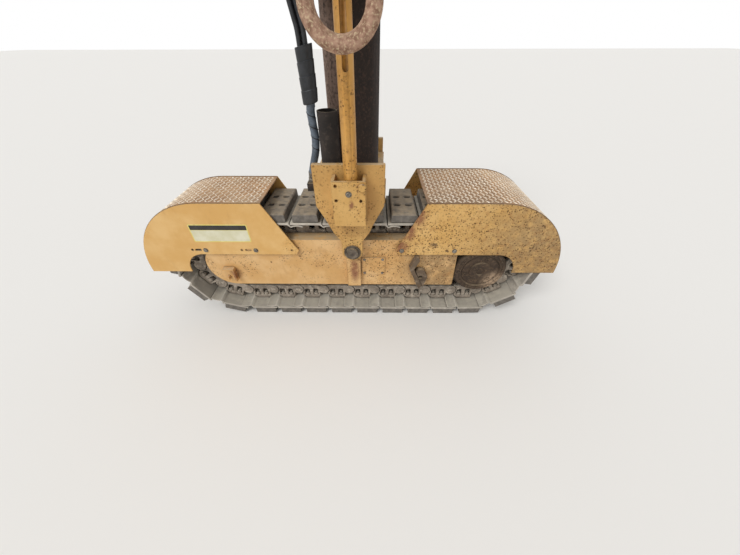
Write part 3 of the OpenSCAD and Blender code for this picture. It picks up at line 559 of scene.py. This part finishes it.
def hex_bolt(place, axis, size):
    """Bolt head with its washer, in a bolt's usual proportions to size, the hexagon's radius."""
    washer = lathe([(0, 0), (size * 1.25, 0), (size * 1.25, size * 0.16), (0, size * 0.16)],
                   place, axis, 20)
    head = skin([[(x, y, height * size) for x, y in evenly_round((0, 0), radius * size, 0, 6)]
                 for radius, height in ((1, 0.16), (1, 0.66), (0.84, 0.78))])
    spin = Matrix.Rotation(random.random(), 4, "Z")
    return join_shapes([washer, moved_by(head, along_axis(place, axis) @ spin)])


# Faces that bend by less than this, in degrees, shade as one round surface
SMOOTH_TURN = 35


def piece(name, shape, slot, body, finish=None, stands_for=(), smooth=SMOOTH_TURN):
    """Makes a piece of the scene from a shape in millimetres, which moves with a body of the part and
    replaces the solids that it stands for."""
    mesh = bpy.data.meshes.new(name)
    mesh.from_pydata([at(*p) for p in shape[0]], [], shape[1])
    welded = bmesh.new()
    welded.from_mesh(mesh)
    bmesh.ops.remove_doubles(welded, verts=welded.verts, dist=0.00002)
    bmesh.ops.recalc_face_normals(welded, faces=welded.faces)
    welded.to_mesh(mesh)
    welded.free()
    mesh.polygons.foreach_set("use_smooth", [True] * len(mesh.polygons))
    mesh.set_sharp_from_angle(angle=math.radians(smooth))
    mesh.materials.append(finish or FINISH[slot])
    made = bpy.data.objects.new(name, mesh)
    scene.collection.objects.link(made)
    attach(made, body)
    if stands_for:
        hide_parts(*stands_for)


# Finish of the carried-over solids: how far their edges are rounded

EDGE_MM = {"leg_housing": 3, "leg_cap": 3, "steer_collar": 3, "yoke": 2.5, "rod_bracket": 1.5,
           "track_frame": 2, "pivot_posts": 2, "cover_plate": 1, "drive_guard_side": 1.2,
           "drive_guard_back": 1.2, "idler_guard_side": 1.2, "idler_guard_back": 1.2, "guard_rails": 1,
           "step_lug": 1.5, "chevron_bracket": 1.5, "drive_mount": 2, "hose_bulkhead": 1.5,
           "hose_guide": 1.5, "idler_axle": 2, "stub_pipe": 1, "sprocket": 2}


def dress(name, finish):
    """Gives a carried-over solid its finish, smooth round faces and softened edges."""
    solid = nodes[name]
    solid.data.materials.clear()
    solid.data.materials.append(finish)
    solid.data.polygons.foreach_set("use_smooth", [True] * len(solid.data.polygons))
    weld = solid.modifiers.new("weld", "WELD")
    weld.merge_threshold = 0.00001
    flat = solid.modifiers.new("flat", "DECIMATE")
    flat.decimate_type = "DISSOLVE"
    flat.angle_limit = math.radians(0.5)
    if name in EDGE_MM:
        edge = solid.modifiers.new("edge", "BEVEL")
        edge.width = EDGE_MM[name] / 1000
        edge.segments = 2
        edge.limit_method = "ANGLE"
        edge.angle_limit = math.radians(40)
        edge.use_clamp_overlap = True
    normals = solid.modifiers.new("normals", "WEIGHTED_NORMAL")
    normals.keep_sharp = True
    if name not in EDGE_MM:
        split = solid.modifiers.new("split", "EDGE_SPLIT")
        split.split_angle = math.radians(SMOOTH_TURN)


for part in record["subparts"]:
    clean = part["node"] in ("idler_guard_side", "idler_guard_back")
    dress(part["node"], CLEAN_GUARD if clean else FINISH[part["material_slot"]])


# Chain: 26 links round the drive and the idler, with the sizes of its solids

PITCH = 155.6
END_LINKS = 4.25
RUN_LINKS = 8.75
# How far the chain has run, counted in links
PHASE = 0.079
RAIL_H = 35.4
BOSS_R = 33
LINK_OUT = 70
LINK_T = 20
FOOT_T = 24
WINDOW_W, WINDOW_H, WINDOW_R = 30, 50, 10
WINDOWS_AT = (PITCH / 2 - 23, PITCH / 2 + 27)
BUSH_R = 21
SHOE_FACE, SHOE_T, SHOE_W, SHOE_GAP = 67.8, 12, 305, 5
JOINT_OFF = 33.5
LIP_R, LIP_T, LIP_ROOT = 66.8, 6, 6.2
PAD_T, PAD_INSET, PAD_END = 43, 4, 14
POCKET_R, POCKET_HALF = 11, 5
POCKETS_DX, POCKETS_Y = (-28, 28), (-45, 45)
PAD_FLARE = 0.05
LINKS = int(2 * (END_LINKS + RUN_LINKS))
PIN_CIRCLE = PITCH / (2 * math.sin(math.pi / 2 / END_LINKS))
HALF_BASE = RUN_LINKS * PITCH / 2
AXLE_Z = PIN_CIRCLE + SHOE_FACE + SHOE_T + PAD_T


def chain_pin(s):
    """Place of a pin, counted in pitches from the idler's lower tangent point."""
    lap = s % LINKS
    step = math.pi / END_LINKS
    if lap < RUN_LINKS:
        return Vector((-HALF_BASE + lap * PITCH, 0, AXLE_Z - PIN_CIRCLE))
    if lap < RUN_LINKS + END_LINKS:
        turn = (lap - RUN_LINKS) * step
        return Vector((HALF_BASE + PIN_CIRCLE * math.sin(turn), 0, AXLE_Z - PIN_CIRCLE * math.cos(turn)))
    if lap < 2 * RUN_LINKS + END_LINKS:
        return Vector((HALF_BASE - (lap - RUN_LINKS - END_LINKS) * PITCH, 0, AXLE_Z + PIN_CIRCLE))
    turn = (lap - 2 * RUN_LINKS - END_LINKS) * step
    return Vector((-HALF_BASE - PIN_CIRCLE * math.sin(turn), 0, AXLE_Z + PIN_CIRCLE * math.cos(turn)))


def on_each_link(shape):
    """Copies of a shape drawn at the first pin of a bottom link, with the shoe under it."""
    copies = []
    for i in range(LINKS):
        first, second = chain_pin(PHASE + i), chain_pin(PHASE + i + 1)
        run = (second - first).normalized()
        inward = Vector((-run.z, 0, run.x))
        matrix = Matrix((run, Vector(INWARD), inward)).transposed().to_4x4()
        matrix.translation = first
        copies.append(moved_by(shape, matrix))
    return join_shapes(copies)


def link_side():
    """Outer link: rail, boss over the pin, two nut windows, and the inner end behind its neighbour."""
    outline = (arc((0, 0), BOSS_R + 4, 66, -50, 8) + [(28, -44), (48, -SHOE_FACE), (129, -SHOE_FACE)]
               + arc((PITCH, 0), BOSS_R, 225, 450, 16) + [(140, RAIL_H), (22, RAIL_H)])
    sill = FOOT_T - SHOE_FACE
    top = sill + WINDOW_H - WINDOW_R
    flat = WINDOW_W / 2 - WINDOW_R
    windows = [[(x - WINDOW_W / 2, sill), (x + WINDOW_W / 2, sill)] + arc((x + flat, top), WINDOW_R, 0, 90, 4)
               + arc((x - flat, top), WINDOW_R, 90, 180, 4) for x in WINDOWS_AT]
    outer = cut_plate(outline, windows, -LINK_OUT, -LINK_OUT + LINK_T, 2.5)
    inner_end = bevelled(prism(arc((0, 0), BOSS_R - 3, 90, 270, 12) + [(60, -24), (60, 30)],
                               -LINK_OUT + 20.5, -LINK_OUT + 36), 1.5)
    rail = bevelled(prism([(8, 6), (PITCH - 12, 6), (PITCH - 12, RAIL_H - 1), (8, RAIL_H - 1)],
                          -LINK_OUT + 18, -LINK_OUT + 24), 1)
    pin = lathe([(0, 0), (12, 0), (14, -1), (17, -1), (18.5, 1), (19, -4), (0, -4)],
                (PITCH, -LINK_OUT - 0.5, 0), OUTWARD, 24)
    nuts = [lathe([(0, 0), (15, 0), (15, 13), (12.5, 16), (8, 16), (8, 21), (0, 21)],
                  (x, -LINK_OUT + 12, sill), UP, 12) for x in WINDOWS_AT]
    return join_shapes([outer, inner_end, rail, pin] + nuts)


def shoe_plate():
    """Shoe whose first edge bends into a lip round the pin, under the shoe before it."""
    x0 = JOINT_OFF + SHOE_GAP / 2
    x1 = x0 + PITCH - SHOE_GAP
    outline = [(x0, -SHOE_FACE - SHOE_T), (x1, -SHOE_FACE - SHOE_T), (x1, -SHOE_FACE), (x0 + 10, -SHOE_FACE)]
    outline += arc((0, 0), LIP_R - LIP_T, -62, -116, 6) + arc((0, 0), LIP_R, -116, -64, 6)
    return bevelled(prism(outline + [(x0, -SHOE_FACE - LIP_ROOT)], -SHOE_W / 2, SHOE_W / 2), 1.5)


def wear_pad():
    """Wear pad with slanted ends and four oblong pockets, a bolt head in each."""
    x0 = JOINT_OFF + SHOE_GAP / 2 + PAD_END
    x1 = JOINT_OFF + PITCH - SHOE_GAP / 2 - PAD_END
    middle = (x0 + x1) / 2
    half = SHOE_W / 2 - PAD_INSET
    top = -SHOE_FACE - SHOE_T
    pockets, heads = [], []
    for x in (middle + dx for dx in POCKETS_DX):
        for y in POCKETS_Y:
            pockets.append(arc((x + POCKET_HALF, y), POCKET_R, -90, 90, 8)
                           + arc((x - POCKET_HALF, y), POCKET_R, 90, 270, 8))
            heads.append(hex_bolt((x, y, top - 1), DOWN, PAD_BOLT))
    corners = [(x0 + 3, -half), (x1 - 3, -half), (x1 - 3, half), (x0 + 3, half)]
    points, faces = cut_plate(corners, pockets, 0, PAD_T, 4)
    flared = [(middle + (x - middle) * (1 + PAD_FLARE * height / PAD_T), y, top - PAD_T + height)
              for x, height, y in points]
    return join_shapes([(flared, faces)] + heads)


side = link_side()
bushing = lathe([(0, -36), (BUSH_R, -36), (BUSH_R, 36), (0, 36)], (0, 0, 0), INWARD, 20)
piece("chain_links", on_each_link(join_shapes([side, mirrored(side), bushing])), "chain_steel", "track",
      stands_for=("track_links",))
piece("shoe_plates", on_each_link(shoe_plate()), "chain_steel", "track", finish=SHOE_STEEL,
      stands_for=("track_shoes",))
random.seed(4)
piece("wear_pads", on_each_link(wear_pad()), "pad_rubber", "track", stands_for=("track_pads",))


# Guards: turn is 1 over the drive and -1 over the idler, and low and high are their sheet's corners

ARC_Z = AXLE_Z + 14
IDLER_ARC_X = 20
GUARD_TOP = mm_box("drive_guard_tread")[1].z
GUARD_R = GUARD_TOP - ARC_Z
GUARD_FACE = mm_box("drive_guard_side")[0].y
Guard = namedtuple("Guard", "name turn arc_x bolts_x low high far_face")
GUARDS = [Guard(name, turn, arc_x, bolts_x, *mm_box(name + "_guard_tread"), mm_box(name + "_guard_back")[1].y)
          for name, turn, arc_x, bolts_x in (("drive", 1, HALF_BASE, (245, 511)),
                                             ("idler", -1, -HALF_BASE - IDLER_ARC_X, (-493, -748)))]

# Lozenges of the tread sheets: outline, spacing, clear rim at the sheet's sides and sweep round its arc
LOZENGE = ((-12.5, 0), (-6, 3.6), (6, 3.6), (12.5, 0), (6, -3.6), (-6, -3.6))
LOZENGE_STEP = 21
LOZENGE_RIM = 8
LOZENGE_SWEEP = math.radians(84)


def sheet_start(guard, inset):
    """Place in x that lies inset mm inside the straight end of a guard's sheet."""
    return (guard.low.x if guard.turn > 0 else guard.high.x) + guard.turn * inset


def lozenge(spot, along, across, out):
    """Raised lozenge rooted 0.6 mm deep in its sheet and 1.9 mm high, with a smaller top."""
    return skin([[spot + length * u * along + width * w * across + height * out for u, w in LOZENGE]
                 for length, width, height in ((1, 1, -0.6), (0.72, 0.6, 1.9))])


def tread_lozenges(guard):
    """Lozenges in rows along the straight top of a guard's sheet and round its arc."""
    start = sheet_start(guard, 6)
    straight = abs(guard.arc_x - start)
    width = guard.high.y - guard.low.y - 2 * LOZENGE_RIM
    columns = round(width / LOZENGE_STEP)
    across = Vector(INWARD)
    shapes = []
    for i in range(int((straight + GUARD_R * LOZENGE_SWEEP) / LOZENGE_STEP)):
        run = (i + 0.7) * LOZENGE_STEP
        swing = max(0, run - straight) / GUARD_R
        out = Vector((guard.turn * math.sin(swing), 0, math.cos(swing)))
        along = Vector((guard.turn * math.cos(swing), 0, -math.sin(swing)))
        row = Vector((start + guard.turn * min(run, straight), 0, ARC_Z)) + GUARD_R * out
        for k in range(columns):
            spot = row + (guard.low.y + LOZENGE_RIM + (k + 0.5) * width / columns) * across
            slant = math.radians(45 if (i + k) % 2 else -45)
            shapes.append(lozenge(spot, math.cos(slant) * along + math.sin(slant) * across,
                                  math.cos(slant) * across - math.sin(slant) * along, out))
    return join_shapes(shapes)


for guard in GUARDS:
    piece(guard.name + "_tread_lozenges", tread_lozenges(guard), "tread_paint", "track", finish=RUBBED_TOPS)


# Bolts, buttons and plugs, on the faces that carry them

GUARD_BOLT_Z = 483
COVER_BOLTS_X, COVER_BOLTS_Z = (56, 151), (328, 418)
BUTTON_X, BUTTON_Z = 57, 862
BRACKET_BOLT_X, BRACKET_BOLT_Z = 3, 835
FRAME_FACE = mm_box("track_frame")[0].y
COVER_FACE = mm_box("cover_plate")[0].y
BRACKET_FACE = mm_box("rod_bracket")[0].y
DRUM_FACE, DRUM_BACK = (corner.y for corner in mm_box("final_drive"))
COVER_PLUGS_R, RIM_PLUGS_R = 79, 117
MOTOR_R, MOTOR_BOLTS_R = 92, 62
MOTOR_END = mm_box("drive_motor")[1].y
PORT_X = HALF_BASE - MOTOR_R - 34
PORT_Y = MOTOR_END - 56
PORT_BOLTS_DZ = (-22, 22)
CAP_BOSS_H = 22
CAP_RIM_Z = mm_box("leg_cap")[1].z - CAP_BOSS_H
CAP_BOLTS_R = 140

random.seed(7)
guard_bolts = [hex_bolt((x, GUARD_FACE, GUARD_BOLT_Z), OUTWARD, GUARD_BOLT)
               for guard in GUARDS for x in guard.bolts_x]
guard_bolts += [hex_bolt((x, guard.far_face, GUARD_BOLT_Z), INWARD, GUARD_BOLT)
                for guard in GUARDS for x in guard.bolts_x]
piece("guard_bolts", join_shapes(guard_bolts), "bracket_steel", "track", finish=BOLT_STEEL)
cover_bolts = [hex_bolt((x, COVER_FACE, z), OUTWARD, COVER_BOLT)
               for x in COVER_BOLTS_X for z in COVER_BOLTS_Z]
piece("cover_bolts", join_shapes(cover_bolts), "bracket_steel", "track", finish=BOLT_STEEL)
button = lathe([(0, 0), (16.5, 0), (16.5, 7), (14.5, 9), (0, 9)], (BUTTON_X, BRACKET_FACE, BUTTON_Z),
               OUTWARD, 32)
piece("bracket_button", button, "bracket_paint", "leg")
bracket_bolt = hex_bolt((BRACKET_BOLT_X, BRACKET_FACE, BRACKET_BOLT_Z), OUTWARD, BRACKET_BOLT)
piece("bracket_bolt", bracket_bolt, "bracket_steel", "leg", finish=BOLT_STEEL)
plugs = [lathe([(0, 0), (9, 0), (9, 3.5), (5.5, 3.5), (5.5, 1), (0, 1)], (x, DRUM_FACE + 8, z), OUTWARD, 24)
         for x, z in evenly_round((HALF_BASE, AXLE_Z), COVER_PLUGS_R, 76, 3)]
plugs += [lathe([(0, 0), (6.5, 0), (6.5, 3), (5.5, 4), (0, 4)], (x, DRUM_FACE + 1.5, z), OUTWARD, 16)
          for x, z in evenly_round((HALF_BASE, AXLE_Z), RIM_PLUGS_R, 33, 12)]
piece("drum_plugs", join_shapes(plugs), "drive_rust", "track")

# Drum of the final drive by radius and distance from the track's middle: flange, barrel, rim, the
# ring of small plugs, the dished cover with its three plugs, and the boss
drum = [(0, -DRUM_BACK), (153, -DRUM_BACK), (153, 40), (150, 44), (137, 46), (137, 139), (129, 149.5),
        (127, 150), (116, 150), (115, 148), (112, 148), (111, 150), (104.5, 150), (102, 147),
        (100, 140.5), (96, 140.5), (94.5, 143), (59, 143), (57, 150.5), (55, 152), (26, 152),
        (24, 150.5), (21, 146), (0, 146)]
piece("drive_drum", lathe(drum, (HALF_BASE, 0, AXLE_Z), OUTWARD, 96), "drive_rust", "track",
      stands_for=("final_drive",))
motor_bolts = [hex_bolt((x, MOTOR_END, z), INWARD, MOTOR_BOLT)
               for x, z in evenly_round((HALF_BASE, AXLE_Z), MOTOR_BOLTS_R, 0, 6)]
motor_bolts += [hex_bolt((PORT_X, PORT_Y, AXLE_Z + dz), (-1, 0, 0), PORT_BOLT) for dz in PORT_BOLTS_DZ]
piece("motor_bolts", join_shapes(motor_bolts), "bracket_steel", "track", finish=BOLT_STEEL)
cap_bolts = [hex_bolt((x, y, CAP_RIM_Z), UP, CAP_BOLT)
             for x, y in evenly_round((LEG_X, 0), CAP_BOLTS_R, 18, 10)]
piece("cap_bolts", join_shapes(cap_bolts), "bracket_steel", "housing", finish=BOLT_STEEL)


# Place of a sticker on the idler guard, left blank: a border, a panel and a header bar

def rounded_plate(x0, x1, z0, z1, radius, y0, y1):
    """Thin plate with round corners, from y0 to y1."""
    outline = []
    for x, z, start in ((x1 - radius, z1 - radius, 0), (x0 + radius, z1 - radius, 90),
                        (x0 + radius, z0 + radius, 180), (x1 - radius, z0 + radius, 270)):
        outline += arc((x, z), radius, start, start + 90, 4)
    return prism(outline, y0, y1)


for name, x0, x1, z0, z1, radius, proud, sunk, finish in (
        ("border", -783, -500, 533, 631, 6, 0.5, 0.2, vinyl("vinyl_yellow", "#dccb6c", "#e6d98e")),
        ("panel", -778, -505, 538, 599, 3, 0.9, -0.3, vinyl("vinyl_pale", "#d2cdac", "#dfdbc2")),
        ("header", -778, -505, 601, 626, 3, 0.9, -0.3, vinyl("vinyl_black", "#232120", "#34312e"))):
    plate = rounded_plate(x0, x1, z0, z1, radius, GUARD_FACE - proud, GUARD_FACE + sunk)
    piece("sticker_" + name, plate, "guard_paint", "track", finish=finish)


# Weld beads

# Radii of the guards' seams and of the beads on posts and brackets, on the beam and round the column,
# and how far a seam lies inside the guard's faces
SEAM_R, WELD_R, BEAM_WELD_R, COLUMN_WELD_R = 2.4, 4, 5, 6
SEAM_IN = 4.5


def bead(route, radius):
    """Weld bead along a route, rippled every 5 mm."""
    spots = [Vector(p) for p in route]
    points, radii = [], []
    for first, second in zip(spots, spots[1:]):
        steps = max(1, round((second - first).length / 2.5))
        for k in range(steps):
            points.append(first.lerp(second, k / steps))
            radii.append(radius * (1.0 if len(points) % 2 else 0.86))
    return tube(points + [spots[-1]], radii + [radius], 8)


def ring_bead(centre, around, radius):
    """Weld bead on a level circle."""
    return bead([(x, y, centre[2]) for x, y in arc(centre, around, 0, 360, 48)], radius)


def guard_seam(guard, y):
    """Weld between a guard's side plate and its tread sheet, down to the sheet's lower edge."""
    bend = [(x, y, z) for x, z in arc((guard.arc_x, ARC_Z), GUARD_R, 90, 90 - 90 * guard.turn, 40)]
    return bead([(sheet_start(guard, 3), y, GUARD_TOP)] + bend, SEAM_R)


seams = [guard_seam(guard, y)
         for guard in GUARDS for y in (GUARD_FACE + SEAM_IN, guard.far_face - SEAM_IN)]
piece("guard_seams", join_shapes(seams), "tread_paint", "track", finish=RUSTED_WELD)
POST_HALF = 35
frame_low, frame_high = mm_box("track_frame")
post_beads = [bead([(x, FRAME_FACE, frame_low.z + 2), (x, FRAME_FACE, frame_high.z - 3)], WELD_R)
              for x in (-POST_HALF, POST_HALF)]
post_beads += [mirrored(b) for b in post_beads]
piece("post_welds", join_shapes(post_beads), "frame_paint", "track")
yoke_low, yoke_high = mm_box("yoke")
bracket_low, bracket_high = mm_box("rod_bracket")
bracket_beads = [bead([(x, yoke_low.y, bracket_low.z + 3), (x, yoke_low.y, bracket_high.z - 3)], WELD_R)
                 for x in (bracket_low.x, bracket_high.x)]
piece("bracket_welds", join_shapes(bracket_beads), "yoke_paint", "leg")
BEAM_FOOT, BEAM_TOP = 748, mm_box("column")[0].z
SHIELD_Y = 175
COLUMN_R = 105
stub_low, stub_high = mm_box("stub_pipe")
stub_middle = ((stub_low.x + stub_high.x) / 2, (stub_low.y + stub_high.y) / 2, BEAM_TOP)
beam_beads = [bead([(x, y, BEAM_FOOT), (x, y, BEAM_TOP - 3)], BEAM_WELD_R)
              for x in (yoke_low.x, yoke_high.x) for y in (-SHIELD_Y, SHIELD_Y)]
beam_beads += [bead([(yoke_low.x + 3, y, BEAM_TOP), (yoke_high.x - 3, y, BEAM_TOP)], BEAM_WELD_R)
               for y in (-SHIELD_Y, SHIELD_Y)]
beam_beads.append(ring_bead((LEG_X, 0, BEAM_TOP), COLUMN_R + 1, COLUMN_WELD_R))
beam_beads.append(ring_bead(stub_middle, (stub_high.x - stub_low.x) / 2 + 1, WELD_R))
piece("yoke_welds", join_shapes(beam_beads), "yoke_paint", "leg")


# Lifting ring, forged round

RING_R, RING_BAR = 84, 21.5
ring_low, ring_high = mm_box("lifting_ring")
ring_bar = arc((RING_R, 0), RING_BAR, 0, 360, 32)
piece("forged_ring", lathe(ring_bar, (ring_low + ring_high) / 2, OUTWARD, 96), "ring_rust", "ring",
      stands_for=("lifting_ring",))


# Hoses: three in a wrapped sleeve above, and one blue-grey hose from it to the block on the beam

# Routes fall from point to point, and OFFSETS place the three hoses about the upper route
UPPER_ROUTE = [(-130, -144, 1270), (-132, -145, 1322), (-139, -146, 1360), (-146, -147, 1400),
               (-150, -148, 1460), (-150, -148, 1530)]
SLEEVE_ROUTE = [(-130, -144, 1284), (-129, -144, 1220), (-128, -143, 1160), (-129, -140, 1122)]
LOWER_ROUTE = [(-129, -141, 1140), (-129, -140, 1122), (-135, -128, 1092), (-135, -117, 1050),
               (-134, -102, 995), (-142, -88, 940), (-158, -76, 890), (-172, -66, 845), (-176, -56, 812)]
OFFSETS = ((-10.5, -5), (9, -7), (1, 9.5))
UPPER_R, LOWER_R = 8.2, 15.5
COUPLING_Z = 1522
CUFF_AT, CUFF_AXIS = (-176, -57, 812), (0.1, -0.24, 1)
# Bands of the sleeve: height, slant, and the radius at each distance below a band's upper edge
BAND, BAND_SLANT = 40, 6 / 29
BAND_STEPS = ((0, 27.2), (0.8, 29), (BAND / 2, 28.4), (BAND - 0.8, 27.4))
# Narrow tape round the lower hose: TAPE_AROUND is its distance from the hose's middle
TAPE_R, TAPE_STEPS = 3.2, 24
TAPE_TOP, TAPE_FOOT, TAPE_AROUND, TAPE_TURN = 1112, 930, 13.8, 42


def on_route(route, z):
    """Point of a falling route at height z."""
    for a, b in zip(route, route[1:]):
        if a[2] >= z >= b[2]:
            return Vector(a).lerp(Vector(b), (a[2] - z) / (a[2] - b[2]))
    return Vector(route[-1])


def wound_sleeve():
    """Tape wound round the hoses: each turn laps over the next one down, on a slant."""
    spots, radii = [], []
    level, foot = SLEEVE_ROUTE[0][2], SLEEVE_ROUTE[-1][2]
    while level > foot + 4:
        for drop, radius in BAND_STEPS:
            if level - drop > foot:
                spots.append(on_route(SLEEVE_ROUTE, level - drop))
                radii.append(radius)
        level -= BAND
    spots.append(on_route(SLEEVE_ROUTE, foot))
    radii.append(26)
    points, faces = tube(spots, radii, 28)
    return [(x, y, z + BAND_SLANT * (x - SLEEVE_ROUTE[1][0])) for x, y, z in points], faces


def wound_tape(route):
    """Narrow tape wound down a falling route, once round it every TAPE_TURN mm."""
    steps = round((TAPE_TOP - TAPE_FOOT) / TAPE_TURN * TAPE_STEPS)
    spots = []
    for k in range(steps + 1):
        turn = 2 * math.pi * k / TAPE_STEPS
        spots.append(on_route(route, TAPE_TOP + (TAPE_FOOT - TAPE_TOP) * k / steps)
                     + Vector((TAPE_AROUND * math.cos(turn), TAPE_AROUND * math.sin(turn), 0)))
    return tube(spots, [TAPE_R] * len(spots), 8)


piece("hose_sleeve", wound_sleeve(), "hose_rubber", "leg", stands_for=("hose_bundle",), smooth=20)
upper, ends = [], []
end_x, end_y, _ = UPPER_ROUTE[-1]
for dx, dy in OFFSETS:
    route = smooth_route([(x + dx, y + dy, z) for x, y, z in UPPER_ROUTE])
    upper.append(tube(route, [UPPER_R] * len(route), 14))
    foot = (end_x + dx, end_y + dy, COUPLING_Z)
    ends.append(lathe([(0, 0), (8.4, 0), (9.2, 1), (9.2, 28), (7, 30), (0, 30)], foot, UP, 20))
    ends.append(lathe([(0, 30), (10, 30), (10, 38), (0, 38)], foot, UP, 6))
piece("upper_hoses", join_shapes(upper), "hose_rubber", "leg", stands_for=("hose_bundle",))
lower = smooth_route(LOWER_ROUTE)
piece("lower_hose", tube(lower, [LOWER_R] * len(lower), 20), "hose_rubber", "leg", finish=BLUE_HOSE,
      stands_for=("hose_bundle",))
ends.append(lathe([(0, -12), (19, -12), (19, 4), (17.4, 5), (17.4, 34), (15, 36), (0, 36)],
                  CUFF_AT, CUFF_AXIS, 24))
piece("hose_ends", join_shapes(ends), "dark_steel", "leg", finish=BOLT_STEEL, stands_for=("hose_bundle",))
piece("hose_tape", wound_tape(lower), "hose_rubber", "leg", stands_for=("hose_bundle",))


# Floor, light and background

FLOOR_HALF = 40000


def add_floor():
    """Wide pale floor under the pads."""
    mesh = bpy.data.meshes.new("floor")
    mesh.from_pydata([at(x * FLOOR_HALF, y * FLOOR_HALF, 0) for x, y in ((-1, -1), (1, -1), (1, 1), (-1, 1))],
                     [], [(0, 1, 2, 3)])
    card, _, shader, _ = new_material("floor_card")
    shader.inputs["Base Color"].default_value = srgb("#eeece8")
    shader.inputs["Roughness"].default_value = 0.9
    mesh.materials.append(card)
    floor = bpy.data.objects.new("floor", mesh)
    scene.collection.objects.link(floor)


def add_lamp(name, strength, spread, towards):
    """Soft sun that shines towards a direction, spread degrees wide."""
    data = bpy.data.lights.new(name, "SUN")
    data.energy = strength
    data.angle = math.radians(spread)
    lamp = bpy.data.objects.new(name, data)
    lamp.rotation_euler = Vector(DOWN).rotation_difference(Vector(towards)).to_euler()
    scene.collection.objects.link(lamp)


def add_world():
    """Even light from all round, white where it is seen directly, in metal or through glass."""
    world = bpy.data.worlds.new("studio")
    scene.world = world
    world.use_nodes = True
    tree = world.node_tree
    backdrop = tree.nodes["Background"]
    backdrop.inputs["Color"].default_value = (1, 1, 1, 1)
    rays = add(tree, "ShaderNodeLightPath").outputs
    seen = strongest(tree, rays["Is Camera Ray"], rays["Is Glossy Ray"], rays["Is Transmission Ray"])
    level = add(tree, "ShaderNodeMapRange", {"Value": seen, "To Min": 0.62, "To Max": 1.0}).outputs[0]
    tree.links.new(level, backdrop.inputs["Strength"])


add_floor()
add_world()
add_lamp("key", 1.5, 25, (0.55, 0.7, -0.9))
scene.view_settings.view_transform = "Standard"
